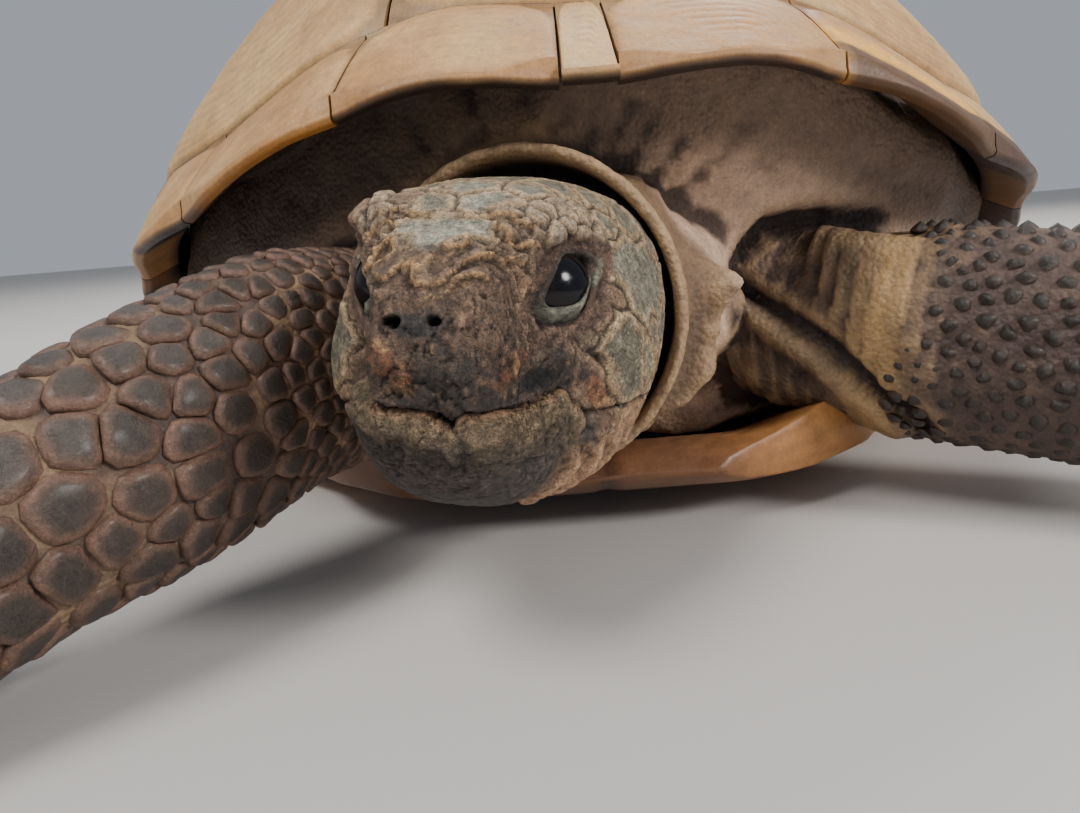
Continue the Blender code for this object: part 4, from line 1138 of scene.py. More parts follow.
def scale_coat(name, limb, size_of, seed, knobs, spurs):
    """One coat piece of all the scales of a limb. knobs(s, turn) says how pointed a scale is."""
    s, turn, radius = scatter(limb, size_of, seed)
    for where in spurs:
        s, turn, radius = np.append(s, where[0]), np.append(turn, where[1]), np.append(radius, where[2])
    spot = limb_point(limb, s, turn, 0.0003) / MM
    step = 1e-3
    along_s = (limb_point(limb, s + step, turn) - limb_point(limb, s - step, turn)) / (2 * step * MM)
    round_t = (limb_point(limb, s, turn + step) - limb_point(limb, s, turn - step)) / (2 * step * MM)
    long_s, long_t = np.linalg.norm(along_s, axis=1), np.linalg.norm(round_t, axis=1)
    e1 = along_s / np.maximum(long_s, 1e-9)[:, None]
    e2 = round_t / np.maximum(long_t, 1e-9)[:, None]
    spoke = 2 * math.pi * np.arange(SPOKES) / SPOKES
    towards = e1[:, None] * np.cos(spoke)[None, :, None] + e2[:, None] * np.sin(spoke)[None, :, None]
    count = len(s)
    reach = np.zeros((count, SPOKES))
    for i in range(count):
        gap = spot - spot[i]
        far = np.linalg.norm(gap, axis=1)
        near = np.flatnonzero((far < 3.2 * radius[i] + 2) & (far > 1e-6))
        share = far[near] * radius[i] / (radius[i] + radius[near])
        facing = towards[i] @ (gap[near] / far[near, None]).T
        limit = np.where(facing > 0.15, share / np.maximum(facing, 0.15), 1e3)
        limit = np.column_stack([limit, np.full(SPOKES, 1.5 * radius[i])])
        reach[i] = (limit**-11.0).sum(1) ** (-1 / 11.0) - 0.06
    sharp = np.zeros(count) if knobs is None else knobs(s, turn)
    reach = reach * (1 - 0.30 * sharp)[:, None]
    reach = np.maximum(reach, 0.3)

    random = np.random.default_rng(seed + 1)
    rows = len(SCALE_RINGS)
    points, colours, places = [], [], []
    tall = (0.26 * radius + 0.25) * (1 - 0.5 * sharp * ease(0.3, 0.9, -np.sin(turn)))
    tilt = random.uniform(0.18, 0.52, count)
    sheen_share = random.uniform(0, 1, count)
    bright = random.uniform(0.8, 1.15, count)
    for row, (ring, dome, point, rim_share) in enumerate(SCALE_RINGS):
        a = reach * ring * np.cos(spoke) * np.where(np.cos(spoke) > 0, 1.10, 1.0)
        b = reach * ring * np.sin(spoke)
        here_s = s[:, None] + a / long_s[:, None]
        here_t = turn[:, None] + b / long_t[:, None]
        shape = dome * (1 - sharp) + point * sharp * 1.5
        raised = (tilt * radius * 0.55)[:, None] * ring * np.cos(spoke) * (row < rows - 1)
        lift = tall[:, None] * shape[:, None] + raised
        lift = lift - 0.06 * radius[:, None] * (row == 0) * (1 - sharp)[:, None]
        spot_now = limb_point(limb, here_s.ravel(), here_t.ravel(), -0.0007) / MM
        base = limb_point(limb, here_s.ravel(), here_t.ravel(), -0.0017) / MM
        normal = spot_now - base
        length = np.maximum(np.linalg.norm(normal, axis=1), 1e-6)[:, None]
        outward = normal / length
        made = spot_now + outward * (lift.ravel() + 0.35)[:, None]
        made[:, 2] = np.maximum(made[:, 2], 0.02)
        points.append(made.reshape(count, SPOKES, 3))
        # On the upper side of a limb some scales are paler, a painted sheen.
        centre = mixed(SCALE_CENTRE * bright[:, None], SCALE_PAINTED_SHEEN * bright[:, None],
                       0.55 * sheen_share * ease(0.1, 0.6, np.sin(turn)))
        centre = centre * (1 - 0.35 * sharp)[:, None]
        shade_now = mixed(centre, SCALE_RIM * bright[:, None], rim_share * (1 - 0.75 * sharp))
        if row == rows - 1:
            shade_now = np.tile(SCALE_GAP, (count, 1))
        colours.append(np.repeat(shade_now[:, None], SPOKES, 1))
        map_u = s[:, None] * 0.98 + 0.01 + SCALE_PATCH * ring * np.cos(spoke)
        map_v = np.mod(turn, 2 * math.pi)[:, None] / (2 * math.pi) * 0.98 + 0.01
        places.append(np.stack([map_u, map_v + SCALE_PATCH * ring * np.sin(spoke)], 2))
    return solid_scales(name, np.stack(points, 1), np.stack(colours, 1), np.stack(places, 1))


def solid_scales(name, points, colours, places):
    """One mesh from rings of points, (scales, rings, spokes, 3). A scale's first ring is its tip."""
    count, rows, spokes, _ = points.shape
    per = 1 + (rows - 1) * spokes
    tip, rest = points[:, :1, 0], points[:, 1:].reshape(count, -1, 3)
    verts = np.concatenate([tip, rest], 1).reshape(-1, 3) * MM
    tints = np.concatenate([colours[:, :1, 0], colours[:, 1:].reshape(count, -1, 3)], 1).reshape(-1, 3)
    spots = np.concatenate([places[:, :1, 0], places[:, 1:].reshape(count, -1, 2)], 1).reshape(-1, 2)
    k = np.arange(spokes)
    after = (k + 1) % spokes
    fan = np.column_stack([np.zeros(spokes, int), 1 + k, 1 + after])
    quads = [np.column_stack([1 + r * spokes + k, 1 + (r + 1) * spokes + k, 1 + (r + 1) * spokes + after,
                              1 + r * spokes + after]) for r in range(rows - 2)]
    quads = np.concatenate(quads)
    under = 1 + (rows - 2) * spokes + k[::-1]
    faces = []
    for i in range(count):
        start = i * per
        faces += (fan + start).tolist()
        faces += (quads + start).tolist()
        faces.append((under + start).tolist())
    mesh = bpy.data.meshes.new(name)
    mesh.from_pydata(verts.tolist(), [], faces)
    obj = bpy.data.objects.new(name, mesh)
    bpy.context.scene.collection.objects.link(obj)
    set_tint(obj, tints)
    corner = np.empty(len(mesh.loops), np.int32)
    mesh.loops.foreach_get("vertex_index", corner)
    layer = mesh.uv_layers.new(name="OFBake")
    layer.data.foreach_set("uv", np.clip(spots[corner], 0.001, 0.999).astype(np.float32).ravel())
    faces_outwards(obj)
    return shade(obj)


print("a scale has", len(SCALE_RINGS), "rings of", SPOKES, "points")

# %% [markdown]
# The right foreleg is near and shows the big scales. The inner part of the left foreleg is bare,
# then come small dark knobs. The thighs carry the spurs that give this tortoise its name.

# %% Make the coats of the legs and the tail


def right_foreleg_size(s, turn):
    base = along(((0.0, 0), (0.17, 0.9), (0.30, 1.25), (0.42, 1.9), (0.55, 2.5), (0.75, 3.1), (0.93, 2.6),
                  (1.0, 1.7)), s)
    back = ease(0.3, 0.9, np.cos(turn))
    under = ease(0.5, 0.95, -np.sin(turn))
    return base * (1 - 0.35 * back - 0.25 * under) * (s > 0.16)


def left_foreleg_size(s, turn):
    front = along(((0.0, 0), (0.24, 0.8), (0.32, 1.1), (0.5, 1.4), (0.75, 1.9), (0.93, 2.3), (1.0, 1.7)), s)
    top = along(((0.0, 0), (0.24, 0.8), (0.34, 1.1), (0.5, 1.5), (0.75, 2.2), (0.93, 2.4), (1.0, 1.7)), s)
    share = ease(-0.2, 0.8, np.sin(turn))
    return (front * (1 - share) + top * share) * (s > 0.30 + 0.02 * np.sin(3 * turn))


def left_knobs(s, turn):
    return 1 - 0.6 * ease(0.6, 1.0, np.sin(turn)) * ease(0.35, 0.75, s)


def hindleg_size(s, turn):
    base = along(((0, 0), (0.25, 1.3), (0.6, 2.2), (0.9, 2.4), (1, 1.7)), s)
    return base * (s > 0.2) * (1 - 0.25 * ease(0.4, 0.9, -np.sin(turn)))


def tail_size(s, turn):
    return along(((0, 0), (0.3, 1.3), (0.8, 1.2), (1, 0.7)), s) * (s > 0.25)


COATS = (
    ("scales_foreleg_right", "foreleg_right", right_foreleg_size, 501, None, ()),
    ("scales_foreleg_left", "foreleg_left", left_foreleg_size, 502, left_knobs, ()),
    ("scales_hindleg_left", "hindleg_left", hindleg_size, 503, None, ((0.30, 2.6, 2.6),)),
    ("scales_hindleg_right", "hindleg_right", hindleg_size, 504, None, ((0.30, 0.55, 2.6),)),
    ("scales_tail", "tail", tail_size, 505, None, ()),
)
for coat_name, limb, size_of, seed, knobs, spurs in COATS:
    coat = dress(scale_coat(coat_name, limb, size_of, seed, knobs, spurs), LEG_SCALES, "skin")
    print(coat_name, len(coat.data.polygons), "faces")

# %% [markdown]
# The face decides whether the animal looks alive, so it gets the finest mesh. A tube through the
# head's sections is remeshed to faces of a quarter of a millimetre. Then it is shaped in the head's
# own frame by a few formulas: the brows, the eye sockets with their lids, the nostrils and the mouth.

# %% Model the form of the head
EYE_CENTRE, EYE_AXIS, EYE_R = np.array([6.9, -7.8, 9.0]), np.array([0.725, -0.612, 0.315]), 4.3
EYE_AXIS = EYE_AXIS / np.linalg.norm(EYE_AXIS)
EYE_UP = np.array([0, 0, 1.0]) - EYE_AXIS * EYE_AXIS[2]
EYE_UP = EYE_UP / np.linalg.norm(EYE_UP)
EYE_FRONT = np.cross(EYE_UP, EYE_AXIS)
EYE_FRONT = EYE_FRONT * np.sign(-EYE_FRONT[1])
# The height of the mouth line in mm by the bearing round the snout, from the right over the front.
MOUTH = ((-2.50, -5.6), (-1.45, -0.6), (-1.20, 2.0), (-0.60, 2.2), (-0.38, 0.9), (-0.15, 0.6),
         (0.08, 0.5), (0.24, -0.4), (0.34, 0.6), (0.52, 0.6), (0.85, 0.6), (1.20, 0.8), (1.32, 1.2),
         (1.44, -0.3), (1.60, -1.4), (1.90, -1.2), (2.20, -1.8), (2.50, -4.0))
MUZZLE_WIDTHS = ((-22.5, 2.9), (-21.0, 3.7), (-18.8, 4.5), (-16, 5.8), (-13, 7.6), (-10, 9.4), (-7, 12.0))


def folded(points):
    """The points with both sides of the head brought to the left one."""
    return np.column_stack([abs(points[:, 0]), points[:, 1], points[:, 2]])


def blob(points, centre, size):
    """1 at a centre, falling off over a size, which may differ along x, y and z."""
    return np.exp(-(((points - np.array(centre)) / size) ** 2).sum(1))


def lid_shape(back, up):
    """1 on the edge of the opening between the lids, which leans back at its top."""
    return ((abs(back - 0.62 * up - 0.06) / 1.95) ** 3.6 + (abs(up - 0.22) / 2.32) ** 3.6) ** (1 / 3.6)


def around_eye(points):
    """(height along the eye's axis, distance from the axis, distance in mm outside the opening of
    the lids, share upwards, share backwards)."""
    ray = folded(points) - EYE_CENTRE
    height, up, back = ray @ EYE_AXIS, ray @ EYE_UP, -(ray @ EYE_FRONT)
    aside = np.maximum(np.hypot(up, back), 1e-6)
    value = lid_shape(back, up)
    slope = np.hypot(lid_shape(back + 0.05, up) - value, lid_shape(back, up + 0.05) - value) / 0.05
    outside = (value - 1) / np.maximum(slope, 0.2)
    return height, aside, np.where(height > 0.0, outside, 30.0), up / aside, back / aside


def under_eye(up, back):
    """1 under the eye and 0 over it."""
    return ease(0.12, 0.40, 0.35 * back - up)


def lower_lid_width(up, back):
    return 0.42 + 0.72 * ease(0.15, 0.95, -0.85 * up - 0.45 * back)


def behind_lid(outside, up, back):
    """1 on the pale swelling at the back corner of the eye."""
    return hill(0.95, 0.36, outside) * hill(0.12, 0.40, up) * (back > 0)


def mouth_gap(points):
    """(height over the mouth line, how far round the snout): 0 ahead, over 0 on the left."""
    bearing = np.arctan2(points[:, 0], -(points[:, 1] + 10))
    return points[:, 2] - along(MOUTH, bearing), bearing


def nostril_at(points):
    """Distance from a nostril's middle, 1 on its edge. The nostrils are small ovals, wider than high."""
    aside, up = abs(points[:, 0] - 0.33) - 1.68, points[:, 2] - 7.8 - 0.04 * points[:, 0]
    return np.hypot(aside / 0.58, up / 0.36)


def shape_head(points, out):
    """The head's form, from the plain tube, in millimetres."""
    side = folded(points)
    sign = np.sign(points[:, 0])
    right = sign < 0
    brow = blob(side, (9.6, -9.8, 13.0), (4.0, 4.6, 3.4))
    outwards, upwards = sign * brow * (0.5 + 1.7 * right), brow * (0.2 + 0.3 * right)
    points = points + np.column_stack([outwards, -0.2 * brow, upwards])
    corner = blob(side, (8.8, -9.2, 15.6), (3.4, 4.2, 2.3)) * right
    points = points + np.column_stack([sign * 0.15 * corner, 0 * corner, 1.3 * corner])
    cheek = blob(side, (14.6, -5.5, 1.0), (4.5, 5.0, 5.0)) * (0.3 + 0.9 * right)
    points = points + out * cheek[:, None]
    widest = along(MUZZLE_WIDTHS, side[:, 1])
    beyond = np.maximum(abs(points[:, 0]) - 0.82 * widest, 0)
    pressed = 0.18 * widest * (1 - np.exp(-beyond / (0.18 * widest)))
    over, _ = mouth_gap(side)
    share = ease(-1.5, 0.8, over) * (1 - ease(-9.0, -6.0, side[:, 1])) * (1 - ease(9.5, 11.8, side[:, 2]))
    share = share * (0.15 + 0.85 * right)
    points = points - np.column_stack([sign * share * (beyond - pressed), 0 * share, 0 * share])
    temple = blob(side, (13.6, 1.0, 10.0), (5, 7, 5))
    points = points + out * (0.35 * temple)[:, None]
    hollow = blob(side, (8.4, -15.2, 9.3), (3.0, 2.6, 3.4)) * 0.7
    hollow = hollow + blob(side, (8.9, -15.2, 2.6), (2.2, 2.4, 1.7)) * 0.9
    hollow = hollow + blob(side, (3.5, -20.8, 12.2), (2.2, 2.0, 1.2)) * 0.3
    points = points - out * hollow[:, None]
    bridge = blob(side, (0.0, -17.6, 13.4), (3.6, 2.6, 2.0)) * 0.45
    muzzle = blob(side, (4.0, -21.0, 4.5), (3.2, 2.0, 3.2)) * 0.5
    points = points + out * (bridge + muzzle)[:, None]

    height, aside, outside, up, back = around_eye(points)
    ball = np.sqrt(np.maximum(EYE_R**2 - aside**2, 0.8))
    flat = np.sqrt(EYE_R**2 - np.minimum(aside, 2.7) ** 2) - 0.30 * np.maximum(aside - 2.7, 0)
    below = under_eye(up, back)
    width = lower_lid_width(up, back)
    share = np.clip(outside / width, 0, 1)
    lid = flat + 0.22 + 0.42 * np.sqrt(1 - (2 * share - 1) ** 2) * (0.35 + 0.65 * below)
    lid = np.where(outside < 0, ball - 1.6 + 1.85 * ease(-0.40, 0.0, outside), lid)
    lid = lid - 0.75 * hill(width + 0.16, 0.20, outside) * below
    pale = behind_lid(outside, up, back)
    lid = lid + 0.40 * pale - 0.35 * hill(1.65, 0.25, outside) * hill(0.1, 0.7, up) * (back > 0)
    reach = 1.9 + 1.5 * ease(0.0, 0.8, -back) + 0.8 * ease(0.1, 0.8, -up)
    keep = ease(0.35 * reach, reach, outside - width * below)
    shift = np.where(keep < 1, (lid - height) * (1 - keep), 0.0)
    shift = np.minimum(shift, 0.6)
    mirrored = np.column_stack([sign, np.ones(len(sign)), np.ones(len(sign))])
    return points + shift[:, None] * EYE_AXIS * mirrored


def cut_mouth_and_nose(points, out):
    over, bearing = mouth_gap(points)
    open_part = 1 - ease(2.0, 2.5, abs(bearing))
    groove = 1.1 * hill(0, 0.26, over) * open_part * (0.5 + 0.5 * (1 - ease(1.3, 1.7, abs(bearing))))
    under = 0.40 * ease(-2.6, -0.1, over) * (over < 0) * (1 - ease(1.15, 1.45, abs(bearing)))
    hole = nostril_at(points)
    nose = 1.9 * np.exp(-(hole**4)) * (points[:, 1] < -18)
    rim = 0.14 * hill(1.6, 0.4, hole) * (points[:, 1] < -18)
    return points - out * (groove + under + nose - rim)[:, None]


face = tube("face_scales", 150, 200, lambda u, t: from_head(head_surface(HEAD_BACK - HEAD_LENGTH * u, t)))
melted(face, FACE_VOXEL, 4)


def head_normals(obj):
    made = normals_of(obj) @ HEAD_TURN
    return made / np.maximum(np.linalg.norm(made, axis=1), 1e-12)[:, None]


set_points(face, from_head(shape_head(to_head(points_of(face)), head_normals(face))))
set_points(face, neighbour_mean(face, points_of(face), 3))
set_points(face, from_head(cut_mouth_and_nose(to_head(points_of(face)), head_normals(face))))
print("head:", len(face.data.polygons), "faces")

# %% [markdown]
# The head's shields are thin horn plates with raised pale borders. Each belongs to a seed on the head, and a
# point takes the seed that is nearest for its size. The border between two plates is where both are equally
# near, and the distance to it gives the groove, the pale rim and the sunken middle. Some plates are listed
# one by one, as they lie on this animal, and the rest are spread at random with a size that suits their
# place. A plate that is long has two or three seeds.

# %% Place the seeds of the plates
PLATE_SEEDS = [  # x, y, z, reach, plate number, kind, on the left side in the head's frame
    (2.2, -15.5, 14.4, 2.7, 1, "shield"), (-2.2, -15.5, 14.2, 2.7, 1, "shield"),
    (0.0, -16.2, 13.9, 2.6, 1, "shield"), (2.5, -11.3, 16.6, 2.5, 2, "shield"),
    (-2.5, -11.8, 16.4, 2.5, 3, "shield"), (0.2, -7.5, 17.8, 3.0, 4, "shield"),
    (4.6, -6.4, 17.6, 2.2, 5, "shield"), (4.4, -12.3, 15.7, 1.5, 6, "bead"),
    (6.7, -10.8, 15.2, 1.1, 7, "bead"), (8.0, -7.6, 15.9, 1.4, 8, "bead"),
    (9.3, -5.4, 15.3, 1.2, 9, "bead"), (6.3, -12.4, 14.6, 1.0, 10, "bead"),
    (8.5, -10.2, 13.9, 1.2, 11, "bead"), (5.4, -14.2, 14.0, 1.0, 12, "bead"),
    (7.4, -12.8, 12.2, 1.6, 13, "mauve"), (6.0, -14.8, 12.6, 1.3, 14, "mauve"),
    (10.2, -8.0, 13.7, 1.0, 15, "bead"), (7.3, -13.8, 9.9, 1.0, 35, "mauve"),
    (6.9, -12.0, 14.0, 0.9, 36, "bead"), (9.2, -9.0, 14.9, 0.9, 37, "bead"),
    (7.4, -9.0, 16.2, 1.1, 16, "bead"), (13.0, -1.4, 11.0, 3.0, 17, "shield"),
    (13.9, 3.0, 10.0, 3.3, 17, "shield"), (13.3, -2.6, 8.6, 2.4, 17, "shield"),
    (12.0, 2.6, 15.5, 2.7, 18, "shield"), (13.2, 8.2, 14.1, 2.6, 19, "shield"),
    (9.3, 0.2, 17.3, 2.3, 20, "shield"), (6.6, -2.4, 18.4, 2.3, 21, "shield"),
    (11.4, -2.2, 14.8, 1.7, 22, "shield"), (10.6, -4.6, 13.6, 1.1, 23, "bead"),
    (13.2, -6.3, 4.0, 2.9, 24, "shield"), (13.9, -5.8, 1.0, 2.6, 24, "shield"),
    (12.0, -7.9, 6.6, 1.2, 25, "brown"), (11.1, -9.1, 5.0, 0.95, 26, "dark"),
    (15.3, 0.4, 4.3, 1.5, 27, "shield"), (15.6, 1.2, 0.4, 2.1, 28, "cream"),
    (15.2, 6.0, 4.6, 2.4, 29, "shield"), (11.6, -10.2, 1.4, 2.2, 30, "brown"),
    (13.4, -8.6, -2.2, 2.0, 31, "brown"), (12.6, -5.4, 8.0, 1.3, 32, "brown"),
    (3.4, -17.4, 12.9, 1.5, 33, "dark"), (0.0, -1.2, 19.0, 3.4, 34, "shield"),
]
MIDDLE_PLATES, PLATE_NUMBERS, SEED_TRIES, POINTS_AT_ONCE = (1, 2, 3, 4, 34), 2000, 9000, 8000
FIRST_SPREAD = 300  # the number of the first plate that isn't listed
KINDS = {"shield": 0, "bead": 1, "mauve": 2, "brown": 3, "dark": 4, "cream": 5, "chin": 6, "throat": 7}


def plate_size_at(point):
    """(reach, kind) of the plates that fill the rest of the head, or None where there are none."""
    x, y, z = abs(point[0]), point[1], point[2]
    near_eye = np.linalg.norm(np.array([x, y, z]) - EYE_CENTRE) < 6.6
    if y < -16.5 and z > -2 or near_eye or y > 12.6:
        return None
    if z < -3.5 and y < -8:
        return 1.0, "chin"
    if z < -1.5 and y > -11:
        return 1.9, "throat"
    if z < -4.0:
        return 1.6, "throat"
    if z > 5 and y > -8:
        return 2.3, "shield"
    if y > -7:
        return 2.0, "shield" if z > 1 else "brown"
    return 1.5, "brown"


def spread_seeds(surface, seed):
    """The placed seeds, their mirror images unless they lie over the middle, and seeds for the rest."""
    random = np.random.default_rng(seed)
    seeds = [list(s) for s in PLATE_SEEDS]
    seeds += [[-s[0], s[1], s[2], s[3], s[4] + 100, s[5]] for s in PLATE_SEEDS if s[4] not in MIDDLE_PLATES]
    number = FIRST_SPREAD
    for point in surface[random.permutation(len(surface))[:SEED_TRIES]]:
        found = plate_size_at(point)
        if found is None:
            continue
        reach = found[0] * random.uniform(0.85, 1.15)
        placed = np.array([s[:4] for s in seeds])
        gap = np.linalg.norm(placed[:, :3] - point, axis=1)
        if (gap > 0.84 * (placed[:, 3] + reach)).all():
            seeds.append([*point, reach, number, found[1]])
            number += 1
    return seeds


def plates_at(points, seeds):
    """(plate number, kind, distance to the plate's border in mm) of each point."""
    spots = np.array([s[:3] for s in seeds], np.float32)
    reach = np.array([s[3] for s in seeds], np.float32)
    number = np.array([s[4] for s in seeds])
    kind = np.array([KINDS[s[5]] for s in seeds])
    whose, what, edge = (np.zeros(len(points), t) for t in (int, int, float))
    for start in range(0, len(points), POINTS_AT_ONCE):
        now = slice(start, start + POINTS_AT_ONCE)
        part = points[now].astype(np.float32)
        far = np.sqrt(((part[:, None] - spots[None]) ** 2).sum(2)) / reach
        first = far.argmin(1)
        rows = np.arange(len(part))
        nearest = far[rows, first]
        far[number[None] == number[first][:, None]] = 1e3
        second = far.argmin(1)
        across = 1 / reach[first] + 1 / reach[second]
        edge[now] = (far[rows, second] - nearest) / across
        whose[now], what[now] = number[first], kind[first]
    return whose, what, edge


head_at = to_head(points_of(face))
face_seeds = spread_seeds(head_at, 7)
print(len(face_seeds), "seeds of plates on the head")

# %% [markdown]
# The snout has no plates. Old horn peels off it in flakes with ragged ochre edges, under which it
# is rough and dark. Noise that is cut into terraces gives such flakes. In front of the eye the skin
# hangs in two long folds, the cheek is coarse, and the throat is pleated.

# %% Colours and heights of the head's surfaces, and its flakes
SHIELD_BLUE, SHIELD_OLIVE, CREAM = tone(136, 132, 116), tone(118, 106, 84), tone(182, 154, 118)
SNOUT_BROWN, SNOUT_DARK, NOSE_DARK = tone(112, 88, 70), tone(52, 46, 43), tone(46, 44, 45)
PEEL, RUST, JAW_OLIVE = tone(190, 148, 98), tone(150, 96, 60), tone(132, 112, 84)
CHIN_GREY, THROAT_PINK, CHEEK = tone(72, 64, 60), tone(172, 134, 102), tone(142, 112, 90)
MAUVE, LID_GREEN = tone(124, 98, 82), tone(120, 120, 104)
FLECK_TAN, SPLIT_DARK, JAW_BLACK = tone(168, 136, 102), tone(30, 24, 22), tone(26, 26, 27)
PEEL_BROWN, GROOVE_BROWN, LID_BROWN = tone(150, 118, 84), tone(92, 72, 56), tone(64, 52, 46)
LID_CREASE_SHADE, EYE_SHADOW = tone(20, 17, 16), tone(12, 10, 10)
MOUTH_SLIT_SHADE, NOSTRIL_SHADE = tone(20, 15, 12), tone(6, 5, 5)
# By kind of plate: its tone, how high it stands, and how creamy its rim is.
KIND_TONES = np.array([SHIELD_BLUE * 1.35, tone(150, 138, 120), MAUVE, CHEEK, tone(78, 70, 64), CREAM,
                       CHIN_GREY, THROAT_PINK])
KIND_HEIGHTS = np.array([1.0, 1.25, 0.8, 0.5, 0.8, 0.8, 0.35, 0.25])
KIND_CREAM = np.array([1.0, 0.75, 0.45, 0.35, 0.35, 0.6, 0.15, 0.3])


def front_only(points, where, width):
    """1 ahead of a place along the head, and 0 behind it and a width."""
    return 1 - ease(where, where + width, points[:, 1])


def flakes(points):
    """(height, how near a ragged edge) of the peeling horn, 0 to 1. The flakes hang down in tiers."""
    warped = points + 0.45 * np.column_stack([fractal(points, 0.9, 3, s) for s in (61, 62, 63)])
    up_the_nose = points[:, 2] + 0.25 * points[:, 1]
    level = 0.42 * up_the_nose + 1.9 * fractal(warped, 5.0, 2, 64)
    part = level - np.floor(level)
    tier = np.where(part > 0.5, 0, 1) * (1 - 0.8 * part) + ease(0.93, 1.0, part)
    return tier, hill(0.02, 0.06, part) + hill(1.0, 0.04, part)


print("kinds of plates:", ", ".join(KINDS))

# %% [markdown]
# The relief and the colours follow the same places, so these are found first: how far a point is
# from the mouth and from the lids, which plate it lies on, and how even or rough the horn is there.

# %% Find what the relief and the colours follow
points = head_at
side = folded(points)
over, bearing = mouth_gap(points)
warped = points + 0.35 * np.column_stack([fractal(points, 1.6, 2, s) for s in (51, 52, 53)])
whose, what, edge = plates_at(warped, face_seeds)
_, _, outside, up, back = around_eye(points)
fine, rough = fractal(points, 0.7, 3, 71), fractal(points, 2.6, 4, 72)
coarse, big = ridged(points, 1.7, 3, 73), fractal(points, 6.0, 3, 74)
left_cheek = blob(side, (11.2, -9.6, 1.6), (2.6, 3.0, 2.6))

bare_to = 1.35 + 1.3 * ease(0.0, 0.8, -up) + 0.5 * ease(0.1, 0.8, -back) + 0.9 * ease(0.5, 0.9, back)
no_plates = np.maximum(front_only(points, -17.4, 1.6) * (1 - ease(12.6, 13.6, points[:, 2])),
                       1 - ease(bare_to - 0.5, bare_to + 0.2, outside))
no_plates = np.maximum(no_plates, ease(0.35, 0.7, blob(side, (9.0, -15.4, 8.2), (2.6, 2.8, 4.4))))
no_plates = np.maximum(no_plates, (over < 3.4) * (over > -4.2) * front_only(points, -12.5, 2.0))
plated = 1 - np.clip(no_plates, 0, 1)
rim = ease(0.02, 0.30, edge) - 0.55 * ease(0.55, 1.25, edge) * (what != 1)
dome = 0.28 * ease(0.2, 1.4, edge) * (what == 1)
print("plates cover", round(float(plated.mean()), 2), "of the head")

# %% [markdown]
# Each kind of surface adds its own height to the head, in millimetres: the plates, the flakes and
# cracks of the snout, the folds before the eye, the pleats of the throat and the lines of the beak.

# %% Raise and sink the surface of the head
height = plated * KIND_HEIGHTS[what] * (0.34 * rim + dome - 0.12 + 0.10 * rough)

peel_here = front_only(points, -12.6, 2.0) * ease(9.3, 10.8, points[:, 2] - 0.35 * (points[:, 1] + 21))
peel_here = peel_here * (side[:, 0] < 7.6)
peel_here = peel_here * (1 - plated * (what == 0) * ease(0.2, 0.7, edge))
terrace, ragged = flakes(points)
height += peel_here * (0.40 * terrace + 0.08 * ragged + 0.08 * rough)
bare_snout = no_plates * (1 - peel_here) * ease(1.6, 3.0, outside)
split = ease(0.80, 0.97, ridged(points * np.array([1, 1, 0.65]), 1.9, 3, 85)) * no_plates
flecks = ease(0.35, 0.6, fractal(points * np.array([1, 1, 0.7]), 0.8, 2, 86)) * no_plates
height += bare_snout * (0.24 * rough + 0.10 * (coarse - 0.5) - 0.16 * split + 0.07 * flecks) + 0.06 * fine
height += left_cheek * (0.22 * rough + 0.16 * (coarse - 0.5))

bend = side[:, 1] + 14.6 + 0.075 * (side[:, 2] - 8.5) ** 2 - 0.9 * fractal(points, 3.2, 2, 75)
fold_area = ease(2.2, 4.2, side[:, 2]) * (1 - ease(13.4, 15.0, side[:, 2])) * (side[:, 0] > 4.4)
fold_area = fold_area * hill(0.4, 2.3, bend) * ease(1.2, 2.4, outside)
waves = 0.30 * np.cos(2 * math.pi * bend / 1.15) + 0.12 * np.cos(2 * math.pi * bend / 0.62)
height += fold_area * waves
cheek_line = hill(0, 0.30, (side[:, 1] + 9.6) * 0.62 + (side[:, 2] - 4.2) * 0.55 + 0.25 * big)
height -= 0.45 * (cheek_line * blob(side, (11.6, -9.0, 3.6), (2.5, 2.6, 2.6)))

low = 1 - ease(-4.4, -2.2, over)
throat = low * ease(-12.5, -9.5, points[:, 1]) * (side[:, 0] > 5)
pleats = np.cos(2 * math.pi * (points[:, 1] + 0.35 * points[:, 2] + 1.1 * big) / 2.5)
height += throat * 0.34 * pleats
deep = 2.6 + 2.2 * ease(0.0, 0.5, bearing)
lower_beak = (over < 0) * ease(-1.4, 0.4, over + deep + 1.0 * rough) * front_only(points, -11.0, 1.5)
striae = fractal(np.column_stack([bearing * 14, over * 0.5, over * 0]), 0.9, 2, 77)
height += lower_beak * (0.12 * striae + 0.34 * ease(-0.5, 0.4, over + deep + 0.8 * rough))
height += (over < -4) * front_only(points, -9.0, 3.0) * 0.12 * rough
print("relief from", round(height.min(), 2), "to", round(height.max(), 2), "mm")
